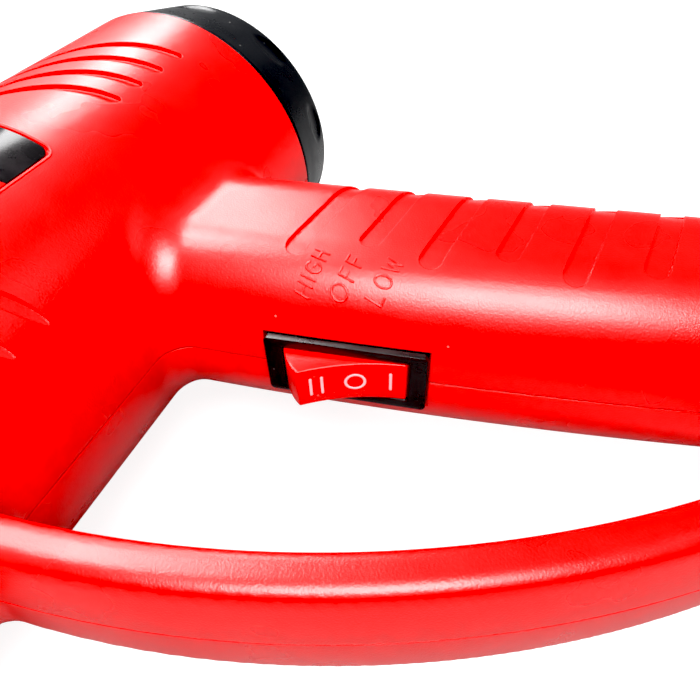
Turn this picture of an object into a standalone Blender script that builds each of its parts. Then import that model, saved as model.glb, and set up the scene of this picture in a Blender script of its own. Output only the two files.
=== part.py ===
"""Hot-air gun with a closed D-handle, modelled at its real size.

Frame: +X runs forward along the barrel to the nozzle, +Y runs down the handle, and +Z is the
gun's left side, so the gun lies on its right side. The origin is the centre of the rear face.
"""

from math import asin, cos, pi, radians, sin, sqrt, tan

import bmesh
import bpy
from mathutils import Matrix, Vector

MM = 0.001
GAP = 0.3 * MM  # clearance between pieces that touch on the real gun
WALL = 2.5 * MM

# Rear cap and barrel
CAP_LENGTH = 21 * MM
CAP_REAR_RADIUS = 35.2 * MM
RIM_RADIUS = 38.5 * MM
BARREL_SHRINK = 0.016  # radius lost per unit of length
BARREL_DROOP = 0.035  # drop of the shell's centre line per unit of length
SHOULDER_X = 147 * MM
BARREL_FRONT = 172 * MM
NOSE_RADIUS = 25 * MM
BARREL_STEPS = 32

# Handle: a rounded bar, raked back, measured from the centre of the switch's face
SWITCH_CENTRE = Vector((85.6, 75.8, 0)) * MM
HANDLE_RAKE = radians(9)
HANDLE_TOP = -60 * MM
HANDLE_END = 106.5 * MM
HANDLE_HALF_WIDTH = 19.5 * MM
HANDLE_CORNER = 16 * MM
HANDLE_FRONT = -0.9 * MM
HANDLE_FRONT_CURVE = 0.55  # how fast the front falls back below the switch, per metre
HANDLE_REAR = -46.3 * MM

# Guard: an arc from the barrel's underside to the foot of the handle
GUARD_CENTRE = Vector((-39, 26, 0)) * MM
GUARD_RADIUS = 179.4 * MM
GUARD_HALF_THICKNESS = 3.9 * MM
GUARD_HALF_WIDTH = 12 * MM
GUARD_CROWN = 1 * MM
GUARD_START = radians(2)
GUARD_END = radians(56)

# Grooves, grips and plates
GROOVE_WIDTH = 3 * MM
GROOVE_DEPTH = 1.2 * MM
REAR_GROOVES = [36.2 * MM, 44.4 * MM, 52.4 * MM, 60.2 * MM]
FRONT_GROOVES = [108.8 * MM, 116.8 * MM, 124.8 * MM]
GROOVE_SWEEP = (0.13 * MM, 0.0058 * MM)  # forward travel per degree climbed, and its growth
GRIP_COUNT = 8
GRIP_PITCH = 12.45 * MM
GRIP_FIRST = (-11.5 * MM, -12 * MM)  # (n, h) of a point on the first grip's middle line
GRIP_WIDTH = 4.2 * MM
GRIP_DEPTH = 0.6 * MM
GRIP_SLOPE = radians(15.4)  # grips run down the handle towards its back
GRIP_ENDS = [-11.2 * MM, -14.6 * MM]  # long and short grips in turn
GRIP_REAR = -41.3 * MM  # grips stop part of the way round the handle's back corner
PLATE_X = (81.5 * MM, 112 * MM)
PLATE_HALF_ANGLE = radians(25)
PLATE_THICKNESS = 0.4 * MM

# Nozzle and heater
NOZZLE_FRONT = 230 * MM
NOZZLE_REAR = 98 * MM
NOZZLE_RADIUS = 17.5 * MM
NOZZLE_WALL = 0.8 * MM
COIL_RADIUS = 13.4 * MM
COIL_WIRE = 0.55 * MM
COIL_X = (110 * MM, 190 * MM)
COIL_TURNS = 5
COIL_STEPS = 8  # straight lengths in one turn

# Motor and fan
SHAFT_RADIUS = 1.5 * MM
MOTOR_RADIUS = 14 * MM
MOTOR_X = (18 * MM, 50 * MM)
FAN_X = (57 * MM, 69 * MM)
FAN_HUB = 9 * MM
FAN_BLADES = 7
FAN_HALF_THICKNESS = 0.6 * MM
FAN_SECTIONS = [  # radius, pitch and chord at the root, the middle and the tip
    (8.1 * MM, radians(52), 11 * MM),
    (19 * MM, radians(36), 14 * MM),
    (30 * MM, radians(26), 16 * MM),
]

# Switch: measured in the handle's frame, N out of the handle's front and H down the handle
BEZEL_HALF = (15.5 * MM, 7 * MM)
BEZEL_THICKNESS = 2.15 * MM
ROCKER_OPENING = (11.95 * MM, 4.85 * MM)
ROCKER_LIP = 0.6 * MM  # the opening widens below this, to clear the rocker's round ends
ROCKER_ROOM = 12.8 * MM
ROCKER_PIVOT = 4.2 * MM  # below the bezel's face
ROCKER_TILT = radians(16)
ROCKER_HALF_LENGTH = 10 * MM
ROCKER_HALF_WIDTH = 4.6 * MM
ROCKER_END_HEIGHT = 7.25 * MM  # above the pivot
ROCKER_MID_HEIGHT = 6.0 * MM
CONTACT_DEPTH = 16 * MM
CONTACT_TILT = radians(-8)
SWITCH_DEPTH = 20 * MM

# Housing screws: (x, y) on the barrel, (n, h) on the handle
BARREL_SCREWS = [(33 * MM, -27.5 * MM), (152 * MM, -24 * MM), (152 * MM, 25 * MM)]
HANDLE_SCREWS = [(-40 * MM, -8 * MM), (-40 * MM, 48 * MM), (-37 * MM, 97 * MM), (-12 * MM, 56 * MM)]
POST_RADIUS = 4.8 * MM
SCREW_HEAD = 3.1 * MM
SCREW_SHANK = 1.5 * MM
SCREW_HEAD_Z = -10 * MM

CORD_BORE = 4.4 * MM
CORD_N = -25 * MM


def clear_scene():
    for obj in list(bpy.data.objects):
        bpy.data.objects.remove(obj)


def material(name, colour, roughness, metallic=0.0):
    mat = bpy.data.materials.new(name)
    mat.use_nodes = True
    shader = mat.node_tree.nodes["Principled BSDF"]
    shader.inputs["Base Color"].default_value = (*colour, 1)
    shader.inputs["Roughness"].default_value = roughness
    shader.inputs["Metallic"].default_value = metallic
    mat.diffuse_color = (*colour, 1)
    return mat


# ---------------------------------------------------------------- mesh helpers


def loft(rings, looped=False):
    """Skin over rings of equally many points; a loop closes on itself, else both ends are capped."""
    mesh = bmesh.new()
    rows = [[mesh.verts.new(point) for point in ring] for ring in rings]
    pairs = list(zip(rows, rows[1:]))
    if looped:
        pairs.append((rows[-1], rows[0]))
    for near, far in pairs:
        for i in range(len(near)):
            j = (i + 1) % len(near)
            mesh.faces.new((near[i], near[j], far[j], far[i]))
    if not looped:
        mesh.faces.new(rows[0])
        mesh.faces.new(rows[-1])
    bmesh.ops.recalc_face_normals(mesh, faces=mesh.faces)
    return mesh


def turned(profile, steps=24, hollow=False):
    """Spin an (x, radius) profile about X. A hollow profile is a closed outline clear of the axis."""
    mesh = bmesh.new()
    points = [mesh.verts.new((x, radius, 0)) for x, radius in profile]
    edges = [mesh.edges.new(pair) for pair in zip(points, points[1:])]
    if hollow:
        edges.append(mesh.edges.new((points[-1], points[0])))
    bmesh.ops.spin(
        mesh, geom=points + edges, cent=(0, 0, 0), axis=(1, 0, 0), angle=2 * pi, steps=steps
    )
    bmesh.ops.remove_doubles(mesh, verts=mesh.verts, dist=0.001 * MM)
    bmesh.ops.recalc_face_normals(mesh, faces=mesh.faces)
    return mesh


def tube_profile(x0, x1, inner, outer):
    return [(x0, inner), (x1, inner), (x1, outer), (x0, outer)]


def rod_profile(x0, x1, radius):
    return [(x0, 0), (x0, radius), (x1, radius), (x1, 0)]


def box(low, high):
    mesh = bmesh.new()
    bmesh.ops.create_cube(mesh, size=1)
    low, high = Vector(low), Vector(high)
    size = high - low
    bmesh.ops.scale(mesh, vec=size, verts=mesh.verts)
    bmesh.ops.translate(mesh, vec=(low + high) / 2, verts=mesh.verts)
    return mesh


def prism(outline, z0, z1):
    """Extrude an (x, y) outline from z0 to z1."""
    return loft([[(x, y, z) for x, y in outline] for z in (z0, z1)])


def rounded_outline(half_u, half_v, radius, steps):
    """Points round a rounded rectangle, anticlockwise."""
    points = []
    for corner, (su, sv) in enumerate([(1, 1), (-1, 1), (-1, -1), (1, -1)]):
        for step in range(steps + 1):
            angle = (corner + step / steps) * pi / 2
            u = su * (half_u - radius) + radius * cos(angle)
            v = sv * (half_v - radius) + radius * sin(angle)
            points.append((u, v))
    return points


def merged(meshes):
    """One mesh that holds several separate cutters."""
    whole = bmesh.new()
    for mesh in meshes:
        data = bpy.data.meshes.new("piece")
        mesh.to_mesh(data)
        whole.from_mesh(data)
        bpy.data.meshes.remove(data)
    return whole


def moved(mesh, matrix):
    bmesh.ops.transform(mesh, matrix=matrix, verts=mesh.verts)
    return mesh


def along_z(mesh):
    """Turn a piece made about X so that it stands along Z."""
    return moved(mesh, Matrix.Rotation(-pi / 2, 4, "Y"))


# ---------------------------------------------------------------- object helpers


def add(name, mesh, mat=None, place=None):
    data = bpy.data.meshes.new(name)
    mesh.to_mesh(data)
    mesh.free()
    data.shade_smooth()
    data.set_sharp_from_angle(angle=radians(35))
    obj = bpy.data.objects.new(name, data)
    bpy.context.collection.objects.link(obj)
    if mat:
        data.materials.append(mat)
    if place:
        obj.matrix_world = place
    return obj


def helper(name, mesh, place=None):
    """A shape that only cuts or joins others."""
    obj = add(name, mesh, place=place)
    obj.hide_render = True
    obj.display_type = "WIRE"
    return obj


def combine(target, other, operation="DIFFERENCE"):
    step = target.modifiers.new(f"{operation.lower()} {other.name}", "BOOLEAN")
    step.operation = operation
    step.solver = "EXACT"
    step.object = other
    return target


def cable(name, points, radius, mat, sides=1):
    """A round wire through the points, capped at both ends."""
    curve = bpy.data.curves.new(name, "CURVE")
    curve.dimensions = "3D"
    curve.bevel_depth = radius
    curve.bevel_resolution = sides
    curve.use_fill_caps = True
    spline = curve.splines.new("POLY")
    spline.points.add(len(points) - 1)
    for slot, point in zip(spline.points, points):
        slot.co = (*point, 1)
    obj = bpy.data.objects.new(name, curve)
    bpy.context.collection.objects.link(obj)
    curve.materials.append(mat)
    return obj


# ---------------------------------------------------------------- the gun's own shapes


def handle_frame(n=0.0, h=0.0, turn=0.0):
    """A frame on the handle: local X is N, out of its front, and local Y is H, down its length."""
    tilt = Matrix.Rotation(HANDLE_RAKE, 4, "Z")
    return (
        Matrix.Translation(SWITCH_CENTRE)
        @ tilt
        @ Matrix.Translation((n, h, 0))
        @ Matrix.Rotation(turn, 4, "Z")
    )


def barrel_section(x):
    """(radius, centre y) of the barrel's outer skin at x."""
    run = min(x, SHOULDER_X) - CAP_LENGTH
    radius = RIM_RADIUS - BARREL_SHRINK * run
    droop = BARREL_DROOP * run
    if x > SHOULDER_X:
        part = (x - SHOULDER_X) / (BARREL_FRONT - SHOULDER_X)
        radius = NOSE_RADIUS + (radius - NOSE_RADIUS) * sqrt(max(0.0, 1 - part**2.2))
        droop *= 1 - part * part
    return radius, droop


def barrel_point(x, angle, offset=0.0):
    """A point on the barrel; the angle is 0 at the left side and grows towards the top."""
    radius, droop = barrel_section(x)
    radius += offset
    return Vector((x, droop - radius * sin(angle), radius * cos(angle)))


def barrel_body(inset, x0, x1):
    """The barrel's skin between two stations, set in by a wall."""
    stations = [x0]
    stations += [x for x in (CAP_LENGTH, 60 * MM, 100 * MM, SHOULDER_X) if x0 < x < x1]
    stations += [SHOULDER_X + (x1 - SHOULDER_X) * part for part in (0.3, 0.55, 0.75, 0.9, 1)]
    around = [2 * pi * i / BARREL_STEPS for i in range(BARREL_STEPS)]
    return loft([[barrel_point(x, angle, -inset) for angle in around] for x in stations])


def handle_ring(h, inset):
    front = HANDLE_FRONT - inset - HANDLE_FRONT_CURVE * h * h
    rear = HANDLE_REAR + inset
    middle = (front + rear) / 2
    outline = rounded_outline(
        (front - rear) / 2, HANDLE_HALF_WIDTH - inset, HANDLE_CORNER - inset, 4
    )
    return [(middle + n, h, z) for n, z in outline]


def handle_body(inset):
    """The handle's bar, with its foot rounded over."""
    end = HANDLE_END - inset
    rings = [(HANDLE_TOP, 0), (-20 * MM, 0), (20 * MM, 0), (50 * MM, 0), (78 * MM, 0)]
    rings += [(end - 5 * MM, 0), (end - 1.5 * MM, 1.5 * MM), (end, 5 * MM)]
    return loft([handle_ring(h, inset + extra) for h, extra in rings])


def guard_ring(angle, inset):
    outward = Vector((cos(angle), sin(angle), 0))
    middle = GUARD_CENTRE + GUARD_RADIUS * outward
    outline = rounded_outline(
        GUARD_HALF_THICKNESS - inset, GUARD_HALF_WIDTH - inset, 2 * MM - inset * 0.4, 2
    )
    ring = []
    for u, v in outline:
        crown = GUARD_CROWN * (v / GUARD_HALF_WIDTH) ** 2
        across = u - crown if u > 0 else u
        ring.append(middle + outward * across + Vector((0, 0, v)))
    return ring


def guard_body(inset):
    steps = 12
    angles = [GUARD_START + (GUARD_END - GUARD_START) * i / steps for i in range(steps + 1)]
    return loft([guard_ring(angle, inset) for angle in angles])


def groove(x0, start, end, side):
    """A cutter for one groove that climbs the barrel and sweeps forward."""
    rings = []
    steps = 7
    for i in range(steps + 1):
        angle = start + (end - start) * i / steps
        climbed = (angle - start) * 180 / pi
        x = x0 + GROOVE_SWEEP[0] * climbed + GROOVE_SWEEP[1] * climbed**2
        ends = min(i, steps - i)
        half = GROOVE_WIDTH / 2 * (0.45 if ends == 0 else 1)
        ring = [
            barrel_point(x - half, angle, 2 * MM),
            barrel_point(x + half, angle, 2 * MM),
            barrel_point(x + half, angle, -GROOVE_DEPTH),
            barrel_point(x - half, angle, -GROOVE_DEPTH),
        ]
        rings.append([Vector((p.x, p.y, side * p.z)) for p in ring])
    return loft(rings)


def curved_plate(x0, x1, half_angle, inner, outer, side):
    """A plate that follows the barrel's side between two offsets from its skin."""
    rings = []
    steps = 8
    for i in range(steps + 1):
        angle = half_angle * (2 * i / steps - 1)
        ring = [
            barrel_point(x0, angle, inner),
            barrel_point(x1, angle, inner),
            barrel_point(x1, angle, outer),
            barrel_point(x0, angle, outer),
        ]
        rings.append([Vector((p.x, p.y, side * p.z)) for p in ring])
    return loft(rings)


def grip_slot(index, side):
    """A cutter for one shallow slot across the handle's side."""
    half = GRIP_WIDTH / 2
    end = GRIP_ENDS[index % 2]
    arc = [pi * (i / 4 - 0.5) for i in range(5)]
    rear = (GRIP_REAR - end) / cos(GRIP_SLOPE)
    outline = [(rear, -half)]
    outline += [(-half + half * cos(a), half * sin(a)) for a in arc]
    outline += [(rear, half)]
    depth = (HANDLE_HALF_WIDTH - 8 * MM) * side
    slot = prism(outline, depth, 30 * MM * side)
    h = GRIP_FIRST[1] + GRIP_PITCH * index + (GRIP_FIRST[0] - end) * tan(GRIP_SLOPE)
    return moved(slot, Matrix.Translation((end, h, 0)) @ Matrix.Rotation(-GRIP_SLOPE, 4, "Z"))


def screw_places():
    """Where each housing screw stands, as a matrix whose Z is the screw's axis."""
    places = [Matrix.Translation((x, y, 0)) for x, y in BARREL_SCREWS]
    places += [handle_frame(n, h) for n, h in HANDLE_SCREWS]
    return places


# ---------------------------------------------------------------- housing


def housing_cavity():
    """The hollow inside both halves, with the screw posts left standing."""
    hollow = helper("cavity", barrel_body(WALL, 10 * MM, BARREL_FRONT - WALL))
    handle = helper("cavity_handle", handle_body(WALL), handle_frame())
    guard = helper("cavity_guard", guard_body(2.1 * MM))
    posts = [
        moved(along_z(turned(rod_profile(-40 * MM, 40 * MM, POST_RADIUS), 10)), place)
        for place in screw_places()
    ]
    combine(hollow, handle, "UNION")
    combine(hollow, guard, "UNION")
    combine(hollow, helper("cavity_posts", merged(posts)))
    return hollow


def screw_holes():
    """Clearance for every screw: a bore into the left posts and a counterbore from the right."""
    holes = []
    for place in screw_places():
        shaft = [(SCREW_HEAD_Z - 30 * MM, 0), (SCREW_HEAD_Z - 30 * MM, SCREW_HEAD + 2 * GAP)]
        shaft += [(SCREW_HEAD_Z, SCREW_HEAD + 2 * GAP), (SCREW_HEAD_Z, SCREW_SHANK + GAP)]
        shaft += [(13 * MM, SCREW_SHANK + GAP), (13 * MM, 0)]
        holes.append(moved(along_z(turned(shaft, 10)), place))
    return helper("screw_holes", merged(holes))


def switch_pocket():
    """Room for the switch's flange and body in the handle's front."""
    flange_h, flange_z = (half + GAP for half in BEZEL_HALF)
    floor = -BEZEL_THICKNESS - GAP
    pocket = helper(
        "pocket_flange",
        box((floor, -flange_h, -flange_z), (9 * MM, flange_h, flange_z)),
        handle_frame(),
    )
    body = helper(
        "pocket_body",
        box((-12 * MM, -14.1 * MM, -6.5 * MM), (-2 * MM, 14.1 * MM, 6.5 * MM)),
        handle_frame(),
    )
    return pocket, body


def build_housing(red):
    barrel = barrel_body(0, CAP_LENGTH + GAP / 2, BARREL_FRONT)
    handle = helper("handle_bar", handle_body(0), handle_frame())
    guard = helper("guard_bar", guard_body(0))
    cavity = housing_cavity()
    nose = helper("nose_hole", turned(rod_profile(160 * MM, 180 * MM, 20.6 * MM), 24))
    inlet = handle_frame(CORD_N, HANDLE_END) @ Matrix.Rotation(pi / 2, 4, "Z")
    inlet_hole = helper("inlet_hole", turned(rod_profile(-12 * MM, 8 * MM, 6.6 * MM), 20), inlet)
    holes = screw_holes()
    pockets = switch_pocket()
    grip_core = helper("grip_core", handle_body(GRIP_DEPTH), handle_frame())
    for name, side in (("housing_left", 1), ("housing_right", -1)):
        mesh = barrel.copy()
        shell = add(name, mesh, red)
        combine(shell, handle, "UNION")
        combine(shell, guard, "UNION")
        near, far = sorted((side * GAP / 2, side * 60 * MM))
        half = box((-10 * MM, -60 * MM, near), (260 * MM, 240 * MM, far))
        combine(shell, helper(f"{name}_side", half), "INTERSECT")
        for cutter in (cavity, nose, inlet_hole, holes, *pockets):
            combine(shell, cutter)
        grooves = [groove(x, radians(-25), radians(32), side) for x in REAR_GROOVES]
        grooves += [groove(x, radians(-58), radians(-12), side) for x in FRONT_GROOVES]
        combine(shell, helper(f"{name}_grooves", merged(grooves)))
        recess = curved_plate(
            PLATE_X[0] - GAP,
            PLATE_X[1] + GAP,
            PLATE_HALF_ANGLE + 0.01,
            -PLATE_THICKNESS - GAP,
            2 * MM,
            side,
        )
        combine(shell, helper(f"{name}_plate_recess", recess))
        slots = helper(
            f"{name}_grips", merged([grip_slot(i, side) for i in range(GRIP_COUNT)]), handle_frame()
        )
        combine(slots, grip_core)
        combine(shell, slots)
    barrel.free()


def build_cap(black):
    """The black rear cap: a tapered cup with a slotted rear face and a spigot into the housing."""
    outside = [(0, 33 * MM), (0.5 * MM, 34.4 * MM), (1.8 * MM, CAP_REAR_RADIUS)]
    outside += [(CAP_LENGTH - 1 * MM, RIM_RADIUS - 0.2 * MM)]
    outside += [(CAP_LENGTH - GAP / 2, RIM_RADIUS - 0.7 * MM)]
    spigot = 35.3 * MM
    inside = [(CAP_LENGTH - GAP / 2, spigot), (CAP_LENGTH + 5 * MM, spigot)]
    inside += [(CAP_LENGTH + 5 * MM, spigot - 1.8 * MM), (3 * MM, 32.4 * MM), (3 * MM, 0)]
    cap = add("rear_cap", turned([(0, 0), *outside, *inside], BARREL_STEPS), black)
    slots = []
    for i in range(14):
        slot = box((-2 * MM, 14 * MM, -1.7 * MM), (5 * MM, 30 * MM, 1.7 * MM))
        slots.append(moved(slot, Matrix.Rotation(2 * pi * i / 14, 4, "X")))
    combine(cap, helper("cap_slots", merged(slots)))


def build_inlet_screen(steel):
    """A stamped dust screen behind the cap's slots."""
    screen = add("inlet_screen", turned(rod_profile(3.4 * MM, 4.2 * MM, 31.6 * MM), 24), steel)
    holes = []
    pitch = 8.4 * MM
    for i in range(-3, 4):
        for j in range(-3, 4):
            if i * i + j * j > 9:
                continue
            low = (0, i * pitch - 2.9 * MM, j * pitch - 2.9 * MM)
            high = (9 * MM, i * pitch + 2.9 * MM, j * pitch + 2.9 * MM)
            holes.append(box(low, high))
    combine(screen, helper("screen_holes", merged(holes)))


def build_plates(black, silver):
    for name, side, mat in (("label_plate", 1, black), ("rating_plate", -1, silver)):
        add(name, curved_plate(*PLATE_X, PLATE_HALF_ANGLE, -PLATE_THICKNESS, 0, side), mat)


def build_screws(steel):
    head = SCREW_HEAD_Z - 2 * MM
    profile = [(head, 0), (head, SCREW_HEAD * 0.7), (head + 0.7 * MM, SCREW_HEAD)]
    profile += [(SCREW_HEAD_Z - GAP, SCREW_HEAD), (SCREW_HEAD_Z - GAP, SCREW_SHANK)]
    profile += [(12 * MM, SCREW_SHANK), (12.6 * MM, 0)]
    for number, place in enumerate(screw_places(), 1):
        add(f"housing_screw_{number}", along_z(turned(profile, 10)), steel, place)


# ---------------------------------------------------------------- nozzle and heater


def build_nozzle(steel, ceramic):
    inner = NOZZLE_RADIUS - NOZZLE_WALL
    lip = NOZZLE_RADIUS + 0.9 * MM
    tube = [(NOZZLE_REAR, inner), (NOZZLE_FRONT, inner), (NOZZLE_FRONT, lip)]
    tube += [(NOZZLE_FRONT - 2 * MM, lip), (NOZZLE_FRONT - 2.6 * MM, NOZZLE_RADIUS)]
    tube += [(NOZZLE_REAR + 1 * MM, NOZZLE_RADIUS), (NOZZLE_REAR + 1 * MM, 21 * MM)]
    tube += [(NOZZLE_REAR, 21 * MM)]
    add("nozzle_tube", turned(tube, 24, hollow=True), steel)
    hole = NOZZLE_RADIUS + GAP
    ring = [(166 * MM, hole), (176 * MM, hole), (176 * MM, 22 * MM), (175 * MM, 23 * MM)]
    ring += [(172.3 * MM, 23 * MM), (172.3 * MM, 20.3 * MM), (169.2 * MM, 20.3 * MM)]
    ring += [(169.2 * MM, 22.2 * MM), (166 * MM, 22.2 * MM)]
    add("nose_ring", turned(ring, 24, hollow=True), ceramic)


def helix(phase):
    x0, x1 = COIL_X
    count = COIL_TURNS * COIL_STEPS
    points = []
    for i in range(count + 1):
        angle = phase + 2 * pi * COIL_TURNS * i / count
        x = x0 + (x1 - x0) * i / count
        points.append(Vector((x, COIL_RADIUS * cos(angle), COIL_RADIUS * sin(angle))))
    return points


def build_heater(mica, ceramic, wire, brass):
    sleeve = tube_profile(106 * MM, 200 * MM, 15.2 * MM, 16.3 * MM)
    add("mica_sleeve", turned(sleeve, 20, hollow=True), mica)
    half = COIL_RADIUS * cos(pi / COIL_STEPS) - COIL_WIRE - GAP
    cross = add("mica_cross", box((106 * MM, -half, -0.5 * MM), (196 * MM, half, 0.5 * MM)), mica)
    other = box((106 * MM, -0.5 * MM, -half), (196 * MM, 0.5 * MM, half))
    combine(cross, helper("mica_cross_upright", other), "UNION")
    disc = tube_profile(101 * MM, 105.5 * MM, 5 * MM, 16.3 * MM)
    base = add("heater_base", turned(disc, 20, hollow=True), ceramic)
    holes = []
    for i in range(6):
        hole = turned(rod_profile(98 * MM, 108 * MM, 2.2 * MM), 8)
        moved(hole, Matrix.Translation((0, 10.5 * MM, 0)))
        holes.append(moved(hole, Matrix.Rotation(pi / 6 + pi * i / 3, 4, "X")))
    combine(base, helper("base_holes", merged(holes)))
    cable("heater_coil_low", helix(0), COIL_WIRE, wire)
    cable("heater_coil_high", helix(pi), COIL_WIRE, wire)
    cutout = [(94 * MM, 0), (94 * MM, 3.6 * MM), (96 * MM, 3.6 * MM)]
    cutout += [(99 * MM, 3 * MM), (99 * MM, 0)]
    add("thermal_cutout", turned(cutout, 12), brass, Matrix.Translation((0, 12 * MM, 0)))


# ---------------------------------------------------------------- motor and fan


def build_motor(steel, black, bronze, dark):
    x0, x1 = MOTOR_X
    wall = 1.2 * MM
    can = [(x0, MOTOR_RADIUS - wall), (x1 - wall, MOTOR_RADIUS - wall), (x1 - wall, 3.4 * MM)]
    can += [(x1, 3.4 * MM), (x1, MOTOR_RADIUS), (x0, MOTOR_RADIUS)]
    add("motor_can", turned(can, 24, hollow=True), steel)
    bell = [(x0 - 4 * MM, 3.4 * MM), (x0 - GAP, 3.4 * MM), (x0 - GAP, MOTOR_RADIUS)]
    bell += [(x0 - 3 * MM, MOTOR_RADIUS), (x0 - 4 * MM, MOTOR_RADIUS - 1 * MM)]
    add("motor_end_bell", turned(bell, 24, hollow=True), black)
    bore = SHAFT_RADIUS + 0.1 * MM
    front = tube_profile(x1 - 2.4 * MM, x1 + 1 * MM, bore, 3.1 * MM)
    rear = tube_profile(x0 - 4.4 * MM, x0 - 0.9 * MM, bore, 3.1 * MM)
    add("motor_bearing_front", turned(front, 12, hollow=True), bronze)
    add("motor_bearing_rear", turned(rear, 12, hollow=True), bronze)
    for name, start in (("magnet_upper", pi), ("magnet_lower", 0)):
        rings = []
        for i in range(9):
            angle = start + radians(25) + radians(130) * i / 8
            across = Vector((0, sin(angle), cos(angle)))
            section = [(26 * MM, 10.4 * MM), (44 * MM, 10.4 * MM)]
            section += [(44 * MM, 12.5 * MM), (26 * MM, 12.5 * MM)]
            rings.append([Vector((x, 0, 0)) + across * r for x, r in section])
        add(name, loft(rings), dark)
    for name, side in (("brush_left", 1), ("brush_right", -1)):
        near, far = sorted((side * 4.3 * MM, side * 9 * MM))
        add(name, box((19.6 * MM, -1.6 * MM, near), (23.4 * MM, 1.6 * MM, far)), dark)


def build_motor_mount(black):
    """A ring that grips the motor, on four arms out to the fan duct."""
    grip = turned(tube_profile(40 * MM, 53.2 * MM, MOTOR_RADIUS + GAP, 17 * MM), 24, hollow=True)
    mount = add("motor_mount", grip, black)
    rim = turned(tube_profile(49 * MM, 53.2 * MM, 30.5 * MM, 32.6 * MM), 24, hollow=True)
    arms = []
    for i in range(4):
        arm = box((49.5 * MM, 16 * MM, -1.4 * MM), (52.8 * MM, 31.5 * MM, 1.4 * MM))
        arms.append(moved(arm, Matrix.Rotation(pi * (i + 0.5) / 2, 4, "X")))
    combine(mount, helper("mount_rim", rim), "UNION")
    combine(mount, helper("mount_arms", merged(arms)), "UNION")


def build_fan_duct(black):
    duct = [(53.5 * MM, 31.2 * MM), (72 * MM, 31.2 * MM), (94 * MM, 17.5 * MM)]
    duct += [(97.6 * MM, 17.5 * MM), (97.6 * MM, 19 * MM), (94.5 * MM, 19 * MM)]
    duct += [(73 * MM, 32.6 * MM), (53.5 * MM, 32.6 * MM)]
    add("fan_duct", turned(duct, 24, hollow=True), black)


def build_rotor(steel, copper, black):
    """Everything that spins: shaft, armature, commutator and fan."""
    add("motor_shaft", turned(rod_profile(12 * MM, 72 * MM, SHAFT_RADIUS), 12), steel)
    bore = SHAFT_RADIUS + GAP
    armature = add(
        "armature", turned(tube_profile(27 * MM, 43 * MM, bore, 9.8 * MM), 20, hollow=True), steel
    )
    slots = []
    for i in range(3):
        slot = box((20 * MM, 4.5 * MM, -1 * MM), (50 * MM, 12 * MM, 1 * MM))
        slots.append(moved(slot, Matrix.Rotation(2 * pi * i / 3, 4, "X")))
    combine(armature, helper("armature_slots", merged(slots)))
    add(
        "commutator",
        turned(tube_profile(19.5 * MM, 25.5 * MM, bore, 3.8 * MM), 12, hollow=True),
        copper,
    )
    x0, x1 = FAN_X
    hub = [(x0, bore), (x1, bore), (x1, 4 * MM), (x1 - 3 * MM, FAN_HUB), (x0, FAN_HUB)]
    fan = add("fan_impeller", turned(hub, 14, hollow=True), black)
    combine(fan, helper("fan_blades", merged([fan_blade(i) for i in range(FAN_BLADES)])), "UNION")


def fan_blade(index):
    """One twisted blade, from inside the hub to the tip."""
    middle = sum(FAN_X) / 2 - 1 * MM
    rings = []
    for radius, pitch, chord in FAN_SECTIONS:
        along = Vector((sin(pitch), 0, cos(pitch))) * chord / 2
        thick = Vector((cos(pitch), 0, -sin(pitch))) * FAN_HALF_THICKNESS
        centre = Vector((middle, radius, 0))
        signs = [(-1, -1), (1, -1), (1, 1), (-1, 1)]
        rings.append([centre + along * a + thick * b for a, b in signs])
    return moved(loft(rings), Matrix.Rotation(2 * pi * index / FAN_BLADES, 4, "X"))


# ---------------------------------------------------------------- switch


def build_switch_body(black, brass):
    """The switch's case: flange, body, opening for the rocker, and its three blades."""
    flange = rounded_outline(BEZEL_HALF[0], BEZEL_HALF[1], 0.8 * MM, 2)
    case = add(
        "switch_body",
        loft([[(n, h, z) for h, z in flange] for n in (-BEZEL_THICKNESS, 0)]),
        black,
        handle_frame(),
    )
    body = box((-SWITCH_DEPTH, -13.8 * MM, -6.2 * MM), (-1 * MM, 13.8 * MM, 6.2 * MM))
    combine(case, helper("case_body", body, handle_frame()), "UNION")
    half_h, half_z = ROCKER_OPENING
    mouth = box((-2 * MM, -half_h, -half_z), (2 * MM, half_h, half_z))
    combine(case, helper("case_mouth", mouth, handle_frame()))
    floor = -SWITCH_DEPTH + 1.8 * MM
    room = box((floor, -ROCKER_ROOM, -half_z), (-ROCKER_LIP, ROCKER_ROOM, half_z))
    combine(case, helper("case_room", room, handle_frame()))
    pivot = along_z(turned(rod_profile(-5.7 * MM, 5.7 * MM, 1.4 * MM), 12))
    combine(case, helper("case_pivot", pivot, handle_frame(-ROCKER_PIVOT)))
    slits = []
    for number, h in enumerate((-8.5 * MM, 0, 8.5 * MM), 1):
        top = -SWITCH_DEPTH + (2.6 if h else 2.9) * MM
        blade = box((-SWITCH_DEPTH - 9 * MM, h - 0.4 * MM, -3 * MM), (top, h + 0.4 * MM, 3 * MM))
        add(f"switch_terminal_{number}", blade, brass, handle_frame())
        low = (-SWITCH_DEPTH - 5 * MM, h - 0.7 * MM, -3.3 * MM)
        slits.append(box(low, (top, h + 0.7 * MM, 3.3 * MM)))
    combine(case, helper("case_slits", merged(slits), handle_frame()))


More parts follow.
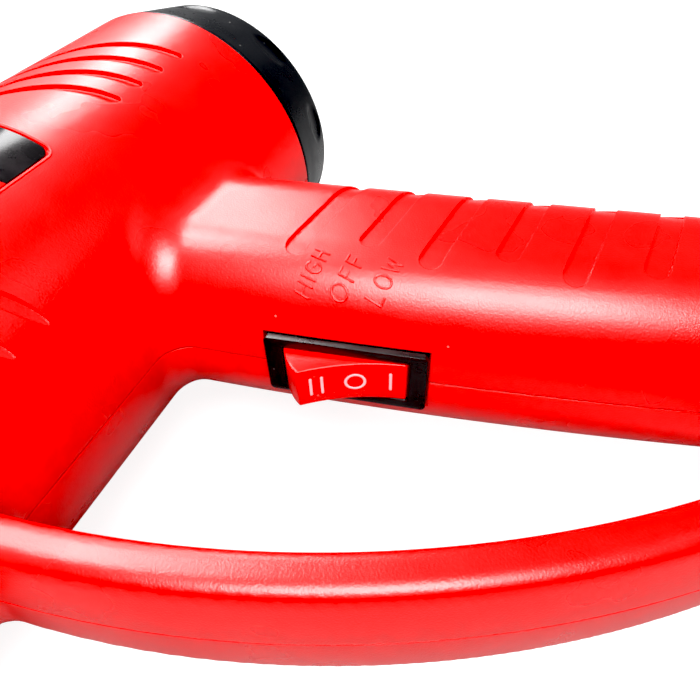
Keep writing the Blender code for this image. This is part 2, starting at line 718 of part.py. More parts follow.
def rocker_outline():
    """The rocker's side outline about its pivot, as (n, h): dished top, round ends, flat belly."""
    half, high, mid = ROCKER_HALF_LENGTH, ROCKER_END_HEIGHT, ROCKER_MID_HEIGHT
    reach = sqrt(half * half + high * high)
    top_angle = asin(high / reach)
    dish = []
    for i in range(9):
        h = half * (1 - i / 4)
        dish.append((mid + (high - mid) * (h / half) ** 2, h))
    ends = [top_angle - (top_angle + radians(6)) * i / 4 for i in range(1, 5)]
    low_side = [(reach * sin(a), reach * cos(a)) for a in ends]
    outline = dish + [(n, -h) for n, h in low_side]
    belly = -2.6 * MM
    outline += [(belly, -9 * MM), (belly, -2.6 * MM), (-7.4 * MM, -2.2 * MM)]
    outline += [(-7.4 * MM, 2.2 * MM), (belly, 2.6 * MM), (belly, 9 * MM)]
    outline += [(n, h) for n, h in reversed(low_side)]
    return outline


def build_rocker(red, brass, steel):
    """Rest is the rocker pressed down at its lower end, in the low-heat position."""
    place = handle_frame(-ROCKER_PIVOT, 0, ROCKER_TILT)
    width = ROCKER_HALF_WIDTH
    rocker = add("switch_rocker", prism(rocker_outline(), -width, width), red, place)
    pin = along_z(turned(rod_profile(-5.5 * MM, 5.5 * MM, 1.1 * MM), 12))
    combine(rocker, helper("rocker_pin", pin, place), "UNION")
    well = turned(rod_profile(-9 * MM, -2 * MM, 1.3 * MM), 10)
    combine(rocker, helper("rocker_well", well, place))
    plunger = [(-10.2 * MM, 0), (-9.6 * MM, 0.8 * MM), (-8.6 * MM, 1 * MM)]
    plunger += [(-5 * MM, 1 * MM), (-5 * MM, 0)]
    add("rocker_plunger", turned(plunger, 10), brass, place)
    turns, count = 3, 18
    spring = []
    for i in range(count + 1):
        angle = 2 * pi * turns * i / count
        local = Vector((-4.5 + 2.2 * i / count, 0.75 * cos(angle), 0.75 * sin(angle))) * MM
        spring.append(place @ local)
    cable("rocker_spring", spring, 0.18 * MM, steel, sides=0)


def build_contact(brass):
    """The see-saw strip that the plunger tips from one pair of blades to the other."""
    outline = [(0.2, 0), (1.6, -4), (0.6, -10), (-0.2, -10), (0.8, -4), (-0.6, 0), (0.8, 4)]
    outline += [(-0.2, 10), (0.6, 10), (1.6, 4)]
    points = [(n * MM, h * MM) for n, h in outline]
    place = handle_frame(-CONTACT_DEPTH, 0, CONTACT_TILT)
    add("switch_contact", prism(points, -2.5 * MM, 2.5 * MM), brass, place)


# ---------------------------------------------------------------- wiring


def build_cord_inlet(black, steel):
    """The gland in the handle's foot, the terminal block and the bar that grips a cord."""
    turn = handle_frame(CORD_N, HANDLE_END) @ Matrix.Rotation(pi / 2, 4, "Z")
    gland = [(-8 * MM, CORD_BORE), (2 * MM, CORD_BORE), (2 * MM, 7.4 * MM), (0.4 * MM, 7.8 * MM)]
    gland += [(0.4 * MM, 6.3 * MM), (-2.9 * MM, 6.3 * MM)]
    gland += [(-2.9 * MM, 7.6 * MM), (-8 * MM, 7.6 * MM)]
    add("cord_gland", turned(gland, 20, hollow=True), black, turn)
    bar = box((-36 * MM, 86 * MM, -10 * MM), (-14 * MM, 92 * MM, -7 * MM))
    clamp = add("cord_clamp", bar, black, handle_frame())
    holes = []
    for number, n in enumerate((-33 * MM, -17 * MM), 1):
        hole = along_z(turned(rod_profile(-12 * MM, -5 * MM, 1.6 * MM), 10))
        holes.append(moved(hole, Matrix.Translation((n, 89 * MM, 0))))
        screw = [(-12.6 * MM, 0), (-12.6 * MM, 2.6 * MM), (-10.3 * MM, 2.6 * MM)]
        screw += [(-10.3 * MM, 1.3 * MM), (-2 * MM, 1.3 * MM), (-2 * MM, 0)]
        add(f"clamp_screw_{number}", along_z(turned(screw, 10)), steel, handle_frame(n, 89 * MM))
    combine(clamp, helper("clamp_holes", merged(holes), handle_frame()))
    block = box((-34 * MM, 64 * MM, -6 * MM), (-16 * MM, 78 * MM, 6 * MM))
    terminal = add("terminal_block", block, black, handle_frame())
    bores = []
    down = Matrix.Rotation(pi / 2, 4, "Z")
    for n in (-29.5 * MM, -20.5 * MM):
        bore = turned(rod_profile(60 * MM, 82 * MM, 2.2 * MM), 10)
        bores.append(moved(bore, Matrix.Translation((n, 0, 0)) @ down))
    combine(terminal, helper("block_bores", merged(bores), handle_frame()))


def smooth_route(points, per_span=4):
    """A Catmull-Rom curve through the points."""
    route = []
    padded = [points[0], *points, points[-1]]
    for a, b, c, d in zip(padded, padded[1:], padded[2:], padded[3:]):
        for i in range(per_span):
            t = i / per_span
            bend = a * (-t + 2 * t**2 - t**3) + b * (2 - 5 * t**2 + 3 * t**3)
            bend += c * (t + 4 * t**2 - 3 * t**3) + d * (t**3 - t**2)
            route.append(bend / 2)
    route.append(points[-1])
    return route


def on_handle(n, h, z):
    return handle_frame() @ (Vector((n, h, z)) * MM)


def build_leads(brown, blue, white):
    """Insulated leads from the terminal block up to the switch, the heater and the rectifier."""
    live = [on_handle(-20.5, 74, 0), on_handle(-20.5, 61, 0), on_handle(-25, 45, 0)]
    live += [on_handle(-31, 25, 0), on_handle(-32, 8, 0), on_handle(-30.6, 0, 0)]
    cable("lead_live", smooth_route(live), 1 * MM, brown)
    neutral = [on_handle(-29.5, 74, 0), on_handle(-29.5, 61, 0), on_handle(-33, 30, -8)]
    neutral += [on_handle(-29, -12, -10), Vector((55, 39, -9)) * MM, Vector((43, 30, -8)) * MM]
    cable("lead_neutral", smooth_route(neutral), 1 * MM, blue)
    heat = [on_handle(-30.6, -8.5, 0), on_handle(-33, -14, 1), Vector((75, 45, 2)) * MM]
    heat += [Vector((87, 34, 2)) * MM, Vector((96, 27.5, 1)) * MM]
    cable("lead_heater", smooth_route(heat), 1 * MM, white)


def build_rectifier(green, dark):
    """The board that feeds the motor, with its four diodes."""
    add("rectifier_board", box((26 * MM, 21 * MM, -9 * MM), (27.6 * MM, 32 * MM, 9 * MM)), green)
    for number, z in enumerate((-6 * MM, -2 * MM, 2 * MM, 6 * MM), 1):
        body = turned(rod_profile(-2.6 * MM, 2.6 * MM, 1.35 * MM), 10)
        place = Matrix.Translation((29.4 * MM, 26.5 * MM, z)) @ Matrix.Rotation(pi / 2, 4, "Z")
        add(f"diode_{number}", body, dark, place)


def main():
    clear_scene()
    red = material("red_abs", (0.80, 0.005, 0.004), 0.32)
    black = material("black_nylon", (0.012, 0.012, 0.013), 0.42)
    switch_black = material("switch_black", (0.01, 0.01, 0.011), 0.35)
    rocker_red = material("rocker_red", (0.85, 0.006, 0.004), 0.28)
    label_black = material("label_black", (0.015, 0.013, 0.014), 0.22)
    label_silver = material("label_silver", (0.55, 0.55, 0.56), 0.35)
    steel = material("steel", (0.62, 0.61, 0.59), 0.3, 1.0)
    screw_steel = material("screw_steel", (0.5, 0.5, 0.5), 0.35, 1.0)
    screen_steel = material("screen_steel", (0.25, 0.25, 0.25), 0.5, 1.0)
    ceramic = material("ceramic", (0.75, 0.72, 0.66), 0.7)
    mica = material("mica", (0.55, 0.43, 0.26), 0.4)
    wire = material("heater_wire", (0.35, 0.33, 0.31), 0.45, 1.0)
    brass = material("brass", (0.78, 0.57, 0.24), 0.3, 1.0)
    bronze = material("bearing_bronze", (0.5, 0.33, 0.16), 0.4, 1.0)
    copper = material("copper", (0.72, 0.35, 0.2), 0.35, 1.0)
    dark = material("dark_grey", (0.05, 0.05, 0.055), 0.5)
    green = material("board_green", (0.02, 0.16, 0.06), 0.4)
    brown = material("lead_brown", (0.12, 0.045, 0.02), 0.45)
    blue = material("lead_blue", (0.02, 0.08, 0.4), 0.45)
    white = material("lead_white", (0.75, 0.74, 0.7), 0.45)

    build_housing(red)
    build_cap(black)
    build_inlet_screen(screen_steel)
    build_plates(label_black, label_silver)
    build_screws(screw_steel)
    build_nozzle(steel, ceramic)
    build_heater(mica, ceramic, wire, brass)
    build_motor(steel, black, bronze, dark)
    build_motor_mount(black)
    build_fan_duct(black)
    build_rotor(steel, copper, black)
    build_switch_body(switch_black, brass)
    build_rocker(rocker_red, brass, steel)
    build_contact(brass)
    build_cord_inlet(black, screw_steel)
    build_leads(brown, blue, white)
    build_rectifier(green, dark)


main()
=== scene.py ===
# %% [markdown]
# A hot-air gun, lying on its right side on a pale floor. Its hard frame is already made and
# jointed. This script gives it the finish of the real one: moulded shells, a glossy rocker,
# stamped steel and wire. It starts by loading that frame, which stays where it is.

# %% Load the frame
from math import atan2, cos, pi, radians, sin, sqrt

import bmesh
import bpy
import numpy as np
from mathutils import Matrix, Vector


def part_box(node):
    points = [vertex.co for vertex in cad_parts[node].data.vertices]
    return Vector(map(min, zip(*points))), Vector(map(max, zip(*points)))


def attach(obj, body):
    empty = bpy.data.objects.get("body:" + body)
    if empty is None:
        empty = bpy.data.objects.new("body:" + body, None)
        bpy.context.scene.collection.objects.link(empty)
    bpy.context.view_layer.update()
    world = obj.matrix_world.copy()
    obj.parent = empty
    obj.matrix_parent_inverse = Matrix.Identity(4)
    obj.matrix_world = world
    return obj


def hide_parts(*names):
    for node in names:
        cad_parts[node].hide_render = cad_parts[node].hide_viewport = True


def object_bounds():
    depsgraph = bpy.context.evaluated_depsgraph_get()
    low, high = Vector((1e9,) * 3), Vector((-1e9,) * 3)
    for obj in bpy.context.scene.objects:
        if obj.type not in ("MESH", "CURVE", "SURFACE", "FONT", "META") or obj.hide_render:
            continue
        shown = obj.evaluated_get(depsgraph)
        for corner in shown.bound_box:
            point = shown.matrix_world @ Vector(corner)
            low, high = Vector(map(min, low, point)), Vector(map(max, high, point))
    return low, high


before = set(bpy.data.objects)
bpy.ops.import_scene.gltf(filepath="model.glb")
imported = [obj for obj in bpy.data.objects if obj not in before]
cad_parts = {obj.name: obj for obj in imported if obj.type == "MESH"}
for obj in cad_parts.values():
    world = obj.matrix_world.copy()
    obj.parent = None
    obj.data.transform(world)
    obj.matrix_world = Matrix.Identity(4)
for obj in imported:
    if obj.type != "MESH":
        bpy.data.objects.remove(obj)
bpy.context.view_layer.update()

import openvdb
from mathutils import Matrix, Vector

MM = 0.001

# %% [markdown]
# The camera comes close to the switch and looks down the gun towards its rear cap, so the
# handle runs off to the right and the guard sweeps across the front. A camera's own axes are
# right, up and backwards, so three directions and a place are all that it needs.

# %% Camera
CAMERA_PLACE = Vector((0.15867, 0.10892, 0.0856))
CAMERA_RIGHT = Vector((-0.3712, 0.928, -0.0306)).normalized()
CAMERA_AHEAD = Vector((-0.6527, -0.2843, -0.7023)).normalized()


def add_camera():
    data = bpy.data.cameras.new("close_view")
    data.lens = 31.89
    data.sensor_width = 36
    data.clip_start = 0.005
    up = CAMERA_RIGHT.cross(CAMERA_AHEAD)
    camera = bpy.data.objects.new("close_view", data)
    axes = Matrix((CAMERA_RIGHT, up, -CAMERA_AHEAD)).transposed()
    camera.matrix_world = Matrix.Translation(CAMERA_PLACE) @ axes.to_4x4()
    bpy.context.scene.collection.objects.link(camera)
    return camera


bpy.context.scene.camera = add_camera()
print("camera", round(bpy.context.scene.camera.data.lens, 1), "mm lens")

# %% [markdown]
# A finish is a network of nodes, and most of it is sums on masks and patterns. Written node by
# node it is long and hard to follow. Here a small class wraps a socket, so that a sum is an
# ordinary Python expression, and one method adds every other kind of node.

# %% Shader maths
class Signal:
    """A value in a finish's network; sums on it add Math nodes."""

    def __init__(self, finish, socket):
        self.finish = finish
        self.socket = socket

    def maths(self, operation, *values):
        return self.finish.node("Math", {"operation": operation}, dict(enumerate(values)))

    def __add__(self, other):
        return self.maths("ADD", self, other)

    def __sub__(self, other):
        return self.maths("SUBTRACT", self, other)

    def __rsub__(self, other):
        return self.maths("SUBTRACT", other, self)

    def __mul__(self, other):
        return self.maths("MULTIPLY", self, other)

    __radd__ = __add__
    __rmul__ = __mul__

    def ramp(self, low, high, start=0.0, end=1.0):
        """A smooth climb from start to end as the value goes from low to high."""
        sockets = {0: self, 1: low, 2: high, 3: start, 4: end}
        return self.finish.node("MapRange", {"interpolation_type": "SMOOTHSTEP"}, sockets)


# %% [markdown]
# Every finish is built on the Principled shader. The finish class makes the material, holds
# its node method, and gives the few patterns that turn up again and again: the place on the
# piece, cloudy noise, and a mix of two colours.

# %% Finishes
class Finish:
    def __init__(self, name, **constants):
        self.material = bpy.data.materials.new(name)
        self.material.use_nodes = True
        self.tree = self.material.node_tree
        self.shader = self.tree.nodes["Principled BSDF"]
        self.connect(self.shader, {key.replace("_", " "): v for key, v in constants.items()})
        self.place = self.node("TexCoord", {}, {}, "Object")

    def connect(self, node, sockets):
        for key, value in sockets.items():
            if isinstance(value, Signal):
                self.tree.links.new(value.socket, node.inputs[key])
            elif isinstance(value, tuple) and len(value) == 3 and node.inputs[key].type == "RGBA":
                node.inputs[key].default_value = (*value, 1)
            else:
                node.inputs[key].default_value = value

    def node(self, kind, settings, sockets, output=0):
        """Add a node: its settings first, then its sockets' values or links."""
        made = self.tree.nodes.new("ShaderNode" + kind)
        for key, value in settings.items():
            setattr(made, key, value)
        self.connect(made, sockets)
        return Signal(self, made.outputs[output])

    def stretched(self, scale):
        return self.node("Mapping", {}, {"Vector": self.place, "Scale": scale})

    def noise(self, size, detail=2.0, roughness=0.5, place=None):
        """Cloudy noise, from 0 to 1, whose blobs are about size across."""
        sockets = {"Vector": place or self.place, "Scale": 1 / size, "Detail": detail}
        return self.node("TexNoise", {}, {**sockets, "Roughness": roughness})

    def cells(self, size, place=None):
        """Distance to the nearest of many scattered points."""
        sockets = {"Vector": place or self.place, "Scale": 1 / size}
        return self.node("TexVoronoi", {}, sockets, "Distance")

    def mix(self, factor, first, second):
        sockets = {"Factor": factor, 6: first, 7: second}
        return self.node("Mix", {"data_type": "RGBA"}, sockets, 2)

    def bump(self, height, depth, strength=1.0, soften=None):
        sockets = {"Height": height, "Distance": depth, "Strength": strength}
        if soften:
            rounded = self.node("Bevel", {"samples": 4}, {"Radius": soften})
            sockets["Normal"] = rounded
        self.connect(self.shader, {"Normal": self.node("Bump", {}, sockets)})

    def use(self, **links):
        self.connect(self.shader, {key.replace("_", " "): v for key, v in links.items()})
        return self.material


# %% [markdown]
# The shells are injection-moulded red plastic with a fine satin grain. A few specks of dust
# sit on it, and its tone and gloss vary in soft clouds. The grain is bump only, because it is
# far finer than the mesh.

# %% Red shell plastic
def red_plastic():
    finish = Finish("shell_red", IOR=1.5)
    grain = finish.noise(0.34 * MM, 3.0)
    clouds = finish.noise(14 * MM, 2.0)
    drift = finish.noise(3.5 * MM, 2.0)
    speck = finish.cells(13 * MM).ramp(0.03, 0.012) * clouds.ramp(0.4, 0.5)
    mottled = finish.mix(drift.ramp(0.2, 0.8), (0.78, 0.0026, 0.0022), (0.86, 0.0038, 0.0031))
    dusty = finish.mix(speck * 0.3, mottled, (0.95, 0.55, 0.5))
    gloss = clouds.ramp(0.2, 0.8, 0.26, 0.32) + speck * 0.2
    finish.bump(grain, 0.05 * MM, 0.8, soften=0.3 * MM)
    return finish.use(Base_Color=dusty, Roughness=gloss)


shell_red = red_plastic()
print("made", shell_red.name, "with", len(shell_red.node_tree.nodes), "nodes")

# %% [markdown]
# The other plastics share one recipe: a base colour that drifts a little, dust or rubbing that
# lightens it, a gloss that varies, and a grain. Only the numbers differ from one to the next.

# %% Plain plastics
def plastic(name, colour, lighter, gloss, grain=0.25 * MM, depth=0.02 * MM, shine_level=0.5):
    """Gloss is the lowest and highest roughness."""
    finish = Finish(name, IOR=1.5, Specular_IOR_Level=shine_level)
    fine = finish.noise(grain, 3.0)
    clouds = finish.noise(9 * MM, 4.0, 0.6)
    dust = finish.cells(3.1 * MM).ramp(0.09, 0.04) * clouds.ramp(0.45, 0.6)
    rubbed = finish.noise(0.8 * MM, 4.0, 0.7) * clouds
    tone = finish.mix(clouds.ramp(0.35, 0.7), colour, lighter)
    dusty = finish.mix(dust * 0.35, tone, (0.5, 0.48, 0.46))
    shine = clouds.ramp(0.3, 0.7, *gloss) + dust * 0.3
    finish.bump(fine + rubbed * 0.6, depth, 0.5, soften=0.15 * MM)
    return finish.use(Base_Color=dusty, Roughness=shine)


cap_black = plastic(
    "cap_black", (0.004, 0.0045, 0.006), (0.008, 0.0085, 0.01), (0.25, 0.36), shine_level=0.2
)
switch_black = plastic(
    "switch_black", (0.0045, 0.0045, 0.005), (0.01, 0.01, 0.011), (0.25, 0.36), depth=0.05 * MM
)
rocker_red = plastic(
    "rocker_red", (0.80, 0.006, 0.005), (0.86, 0.01, 0.008), (0.2, 0.28), 0.5 * MM, 0.008 * MM, 0.3
)
mark_white = plastic("mark_white", (0.88, 0.52, 0.56), (0.92, 0.6, 0.63), (0.4, 0.5))
inner_black = plastic("inner_black", (0.012, 0.012, 0.013), (0.02, 0.02, 0.021), (0.4, 0.5))
lead_brown = plastic("lead_brown", (0.1, 0.04, 0.018), (0.14, 0.05, 0.025), (0.35, 0.5))
lead_blue = plastic("lead_blue", (0.015, 0.07, 0.36), (0.03, 0.1, 0.45), (0.35, 0.5))
lead_white = plastic("lead_white", (0.7, 0.69, 0.65), (0.8, 0.79, 0.75), (0.4, 0.55))
print("made", len(bpy.data.materials), "materials so far")

# %% [markdown]
# Metals need a metallic shader, a brushed or stamped grain, and stains. Steel near the nozzle's
# mouth has run hot, so straw, then bronze, then blue bands show along it, as on any hot-air
# tool. Those bands depend only on the distance along the tube.

# %% Metals
def metal(name, colour, stained, gloss, grain=(1.0, 1.0, 1.0), depth=0.01 * MM):
    finish = Finish(name, Metallic=1.0)
    brushed = finish.noise(0.5 * MM, 3.0, 0.6, finish.stretched(grain))
    clouds = finish.noise(5 * MM, 4.0, 0.6)
    tone = finish.mix(clouds.ramp(0.35, 0.75), colour, stained)
    shine = brushed.ramp(0.3, 0.7, *gloss) + clouds * 0.06
    finish.bump(brushed + clouds * 0.3, depth, 0.4)
    return finish.use(Base_Color=tone, Roughness=shine)


def heated_steel(mouth, throat):
    """Tube steel whose heat colours run from the mouth back to the throat."""
    finish = Finish("nozzle_steel", Metallic=1.0)
    split = finish.node("SeparateXYZ", {}, {0: finish.place}, "X")
    brushed = finish.noise(0.6 * MM, 3.0, 0.6, finish.stretched((0.15, 1.0, 1.0)))
    clouds = finish.noise(7 * MM, 4.0, 0.6)
    wander = split + (clouds - 0.5) * (9 * MM)
    heat = wander.ramp(throat, mouth)
    straw = finish.mix(heat.ramp(0.25, 0.55), (0.62, 0.61, 0.6), (0.6, 0.47, 0.29))
    bronze = finish.mix(heat.ramp(0.6, 0.8), straw, (0.36, 0.2, 0.17))
    blue = finish.mix(heat.ramp(0.86, 0.98), bronze, (0.17, 0.19, 0.3))
    finish.bump(brushed + clouds * 0.3, 0.012 * MM, 0.4)
    return finish.use(Base_Color=blue, Roughness=brushed.ramp(0.3, 0.7, 0.22, 0.34))


nozzle_steel = heated_steel(0.232, 0.18)
steel = metal("plain_steel", (0.6, 0.59, 0.57), (0.5, 0.48, 0.45), (0.25, 0.38))
screw_steel = metal("screw_steel", (0.42, 0.42, 0.43), (0.3, 0.29, 0.28), (0.28, 0.42))
screen_steel = metal("screen_steel", (0.2, 0.2, 0.21), (0.13, 0.12, 0.12), (0.4, 0.55))
heater_wire = metal("heater_wire", (0.3, 0.27, 0.25), (0.2, 0.17, 0.16), (0.35, 0.55))
brass = metal("brass", (0.75, 0.55, 0.24), (0.6, 0.4, 0.16), (0.25, 0.4))
bronze = metal("bearing_bronze", (0.48, 0.32, 0.16), (0.36, 0.23, 0.11), (0.3, 0.5))
copper = metal("copper", (0.72, 0.36, 0.21), (0.55, 0.25, 0.13), (0.25, 0.4))
print("made", len(bpy.data.materials), "materials so far")

# %% [markdown]
# Ceramic, mica and pressed board are matt. Mica shows thin layers and small bright flakes, so
# its noise is stretched along the sheet.

# %% Ceramic, mica, board and carbon
def matt(name, colour, darker, gloss, stretch=(1.0, 1.0, 1.0), depth=0.05 * MM):
    finish = Finish(name)
    grain = finish.noise(0.6 * MM, 5.0, 0.65, finish.stretched(stretch))
    clouds = finish.noise(6 * MM, 3.0)
    tone = finish.mix((grain * 0.6 + clouds * 0.4).ramp(0.35, 0.65), colour, darker)
    finish.bump(grain, depth, 0.5, soften=0.15 * MM)
    return finish.use(Base_Color=tone, Roughness=grain.ramp(0.3, 0.7, *gloss))


ceramic = matt("ceramic", (0.74, 0.71, 0.65), (0.62, 0.58, 0.51), (0.6, 0.75))
mica = matt("mica", (0.55, 0.43, 0.26), (0.38, 0.28, 0.15), (0.3, 0.5), (0.2, 1.0, 1.0))
board_green = matt("board_green", (0.02, 0.15, 0.06), (0.012, 0.1, 0.04), (0.35, 0.5))
carbon = matt("carbon", (0.05, 0.05, 0.055), (0.03, 0.03, 0.033), (0.45, 0.6))
print("made", len(bpy.data.materials), "materials so far")

# %% [markdown]
# The pieces are hard shapes with clean outlines, so most are rings of points skinned over: a
# turned piece, a groove cutter and a raised letter stroke are all lofts. One helper skins any
# rows of points, and another makes the object and lets it ride on its body.

# %% Lofts and pieces
def loft(rings, looped=False):
    """Skin rings of equally many points; capped at both ends unless it closes on itself."""
    mesh = bmesh.new()
    rows = [[mesh.verts.new(point) for point in ring] for ring in rings]
    pairs = list(zip(rows, rows[1:] + ([rows[0]] if looped else [])))
    for near, far in pairs:
        for i in range(len(near)):
            j = (i + 1) % len(near)
            mesh.faces.new((near[i], near[j], far[j], far[i]))
    if not looped:
        mesh.faces.new(rows[0])
        mesh.faces.new(rows[-1])
    bmesh.ops.recalc_face_normals(mesh, faces=mesh.faces)
    return mesh


def turned(profile, steps=96, hollow=True):
    """Spin an (x, radius) outline about X. A solid one starts and ends on the axis."""
    rim = [(0, sin(2 * pi * i / steps), cos(2 * pi * i / steps)) for i in range(steps)]
    rings = [[Vector((x, radius * s, radius * c)) for _, s, c in rim] for x, radius in profile]
    if hollow:
        return loft(rings, looped=True)
    mesh = loft(rings)
    bmesh.ops.remove_doubles(mesh, verts=mesh.verts, dist=0.001 * MM)
    bmesh.ops.dissolve_degenerate(mesh, dist=0.001 * MM, edges=mesh.edges)
    bmesh.ops.recalc_face_normals(mesh, faces=mesh.faces)
    return mesh


def rounded_profile(points, radius=0.4 * MM, steps=3, closed=True):
    """Replace each corner of an outline with a small arc-like curve."""
    result = []
    count = len(points)
    for i, point in enumerate(points):
        here = Vector(point)
        if not closed and i in (0, count - 1):
            result.append(tuple(here))
            continue
        before = Vector(points[i - 1]) - here
        after = Vector(points[(i + 1) % count]) - here
        reach = min(radius, before.length * 0.45, after.length * 0.45)
        start, end = here + before.normalized() * reach, here + after.normalized() * reach
        for step in range(steps + 1):
            t = step / steps
            result.append(tuple(start.lerp(here, t).lerp(here.lerp(end, t), t)))
    return result


def prism(outline, low, high):
    """Extrude an (x, y) outline from low to high along Z."""
    return loft([[Vector((x, y, z)) for x, y in outline] for z in (low, high)])


def block(low, high):
    (x0, y0, z0), (x1, y1, z1) = low, high
    return prism([(x0, y0), (x1, y0), (x1, y1), (x0, y1)], z0, z1)


def joined(meshes):
    """Several meshes as one."""
    whole = bmesh.new()
    for mesh in meshes:
        data = bpy.data.meshes.new("part")
        mesh.to_mesh(data)
        mesh.free()
        whole.from_mesh(data)
        bpy.data.meshes.remove(data)
    return whole


def placed(mesh, matrix):
    bmesh.ops.transform(mesh, matrix=matrix, verts=mesh.verts)
    return mesh


def piece(name, mesh, material, body="housing", replaces=(), sharp=35):
    """Make an object that shows, and say which body it rides on and what it stands for."""
    data = bpy.data.meshes.new(name)
    mesh.to_mesh(data)
    mesh.free()
    data.materials.append(material)
    data.shade_smooth()
    data.set_sharp_from_angle(angle=radians(sharp))
    made = bpy.data.objects.new(name, data)
    bpy.context.scene.collection.objects.link(made)
    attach(made, body)
    if replaces:
        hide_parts(*replaces)
    return made


def cut(mesh, *cutters, operation="DIFFERENCE"):
    """Apply Booleans in turn and give the result back as a mesh."""
    data = bpy.data.meshes.new("stock")
    mesh.to_mesh(data)
    mesh.free()
    stock = bpy.data.objects.new("stock", data)
    bpy.context.scene.collection.objects.link(stock)
    tools = []
    for cutter in cutters:
        tool_data = bpy.data.meshes.new("tool")
        cutter.to_mesh(tool_data)
        cutter.free()
        tools.append(bpy.data.objects.new("tool", tool_data))
        bpy.context.scene.collection.objects.link(tools[-1])
        step = stock.modifiers.new("cut", "BOOLEAN")
        step.operation = operation
        step.solver = "MANIFOLD"
        step.object = tools[-1]
    bpy.context.view_layer.update()
    result = bmesh.new()
    result.from_object(stock, bpy.context.evaluated_depsgraph_get())
    for made in (stock, *tools):
        old = made.data
        bpy.data.objects.remove(made)
        bpy.data.meshes.remove(old)
    return result


print("helpers ready")

# %% [markdown]
# The shell is three shapes that flow into each other: a barrel that tapers and droops a little,
# a raked handle with rounded corners, and a bowed guard. Hand-made fillets where they meet
# would be fiddly. Instead each shape is a distance field, a formula for how far any point is
# from its skin. Two fields join with a round fillet in one line of arithmetic.

# %% The shell as distance fields, in millimetres
CAP_X, SHOULDER_X, NOSE_X = 21.0, 147.0, 172.0
RIM_RADIUS, NOSE_RADIUS = 38.5, 25.0
SHRINK, DROOP = 0.016, 0.035
SWITCH = (85.6, 75.8)
RAKE = radians(9)
HANDLE_END, HANDLE_REAR, HANDLE_HALF, HANDLE_CORNER = 106.5, -46.3, 19.5, 16.0
GUARD_CENTRE, GUARD_RADIUS = (-39.0, 26.0), 179.4
GUARD_HALF_THICKNESS, GUARD_HALF_WIDTH, GUARD_CROWN = 3.9, 12.0, 1.0
GUARD_TURNS = (2, 56)  # degrees about its centre where the guard's bar starts and ends
FILLET, FOOT_ROUNDING = 5.5, 5.0


def round_union(a, b, radius):
    u, v = np.maximum(radius - a, 0), np.maximum(radius - b, 0)
    return np.maximum(radius, np.minimum(a, b)) - np.sqrt(u * u + v * v)


def round_both(a, b, radius):
    u, v = np.maximum(radius + a, 0), np.maximum(radius + b, 0)
    return np.minimum(-radius, np.maximum(a, b)) + np.sqrt(u * u + v * v)


def barrel_field(x, y, z):
    run = np.minimum(x, SHOULDER_X) - CAP_X
    part = np.clip((x - SHOULDER_X) / (NOSE_X - SHOULDER_X), 0, None)
    droop = DROOP * run * (1 - np.clip(part, 0, 1) ** 2)
    radius = np.sqrt((y - droop) ** 2 + z * z)
    skin = RIM_RADIUS - SHRINK * run
    depth = np.clip(radius - NOSE_RADIUS, 0, None) / (skin - NOSE_RADIUS)
    power = 2.2
    level = part**power + depth**power - 1
    slope_x = power * part ** (power - 1) / (NOSE_X - SHOULDER_X)
    slope_r = power * depth ** (power - 1) / (skin - NOSE_RADIUS)
    steep = np.sqrt(slope_x**2 + slope_r**2)
    nose = np.maximum(level / np.maximum(steep, 0.05), -12)
    return np.where(x < SHOULDER_X, radius - skin, nose)


def handle_front(h):
    """How far out the handle's front is, h along from the switch; it bows a little."""
    return -0.9 - 0.00055 * h * h


def handle_field(x, y, z):
    dx, dy = x - SWITCH[0], y - SWITCH[1]
    n = dx * cos(RAKE) + dy * sin(RAKE)
    h = dy * cos(RAKE) - dx * sin(RAKE)
    front = handle_front(h)
    across = np.abs(n - (front + HANDLE_REAR) / 2) - (front - HANDLE_REAR) / 2 + HANDLE_CORNER
    up = np.abs(z) - HANDLE_HALF + HANDLE_CORNER
    outside = np.sqrt(np.maximum(across, 0) ** 2 + np.maximum(up, 0) ** 2)
    bar = outside + np.minimum(np.maximum(across, up), 0) - HANDLE_CORNER
    return round_both(np.maximum(bar, -60 - h), h - HANDLE_END, FOOT_ROUNDING)


def guard_field(x, y, z):
    dx, dy = x - GUARD_CENTRE[0], y - GUARD_CENTRE[1]
    out = np.sqrt(dx * dx + dy * dy) - GUARD_RADIUS
    out = np.where(out > 0, out + GUARD_CROWN * (z / GUARD_HALF_WIDTH) ** 2, out)
    corner = 2.0
    across = np.abs(out) - GUARD_HALF_THICKNESS + corner
    up = np.abs(z) - GUARD_HALF_WIDTH + corner
    outside = np.sqrt(np.maximum(across, 0) ** 2 + np.maximum(up, 0) ** 2)
    bar = outside + np.minimum(np.maximum(across, up), 0) - corner
    turn = np.degrees(np.arctan2(dy, dx))
    ends = np.maximum(GUARD_TURNS[0] - turn, turn - GUARD_TURNS[1]) * GUARD_RADIUS * pi / 180
    return np.maximum(bar, ends)


def shell_field(x, y, z):
    body = round_union(barrel_field(x, y, z), handle_field(x, y, z), FILLET)
    return round_union(body, guard_field(x, y, z), FILLET)


print("barrel underside is", round(float(barrel_field(100.0, 41.0, 0.0)), 2), "mm away")

# %% [markdown]
# A field turns into a mesh by sampling it on a grid and following its zero level. OpenVDB does
# that, with a few quads to each millimetre. The grid alone would leave faint ripples under the
# gloss, so each point then slides down the field's slope until it is exactly on the skin.

# %% From a field to a mesh
FIELD_LOW = np.array((12.0, -42.0, -4.0))
FIELD_HIGH = np.array((177.0, 187.0, 43.0))
MIDDLE, REAR = -1.2, 15.0


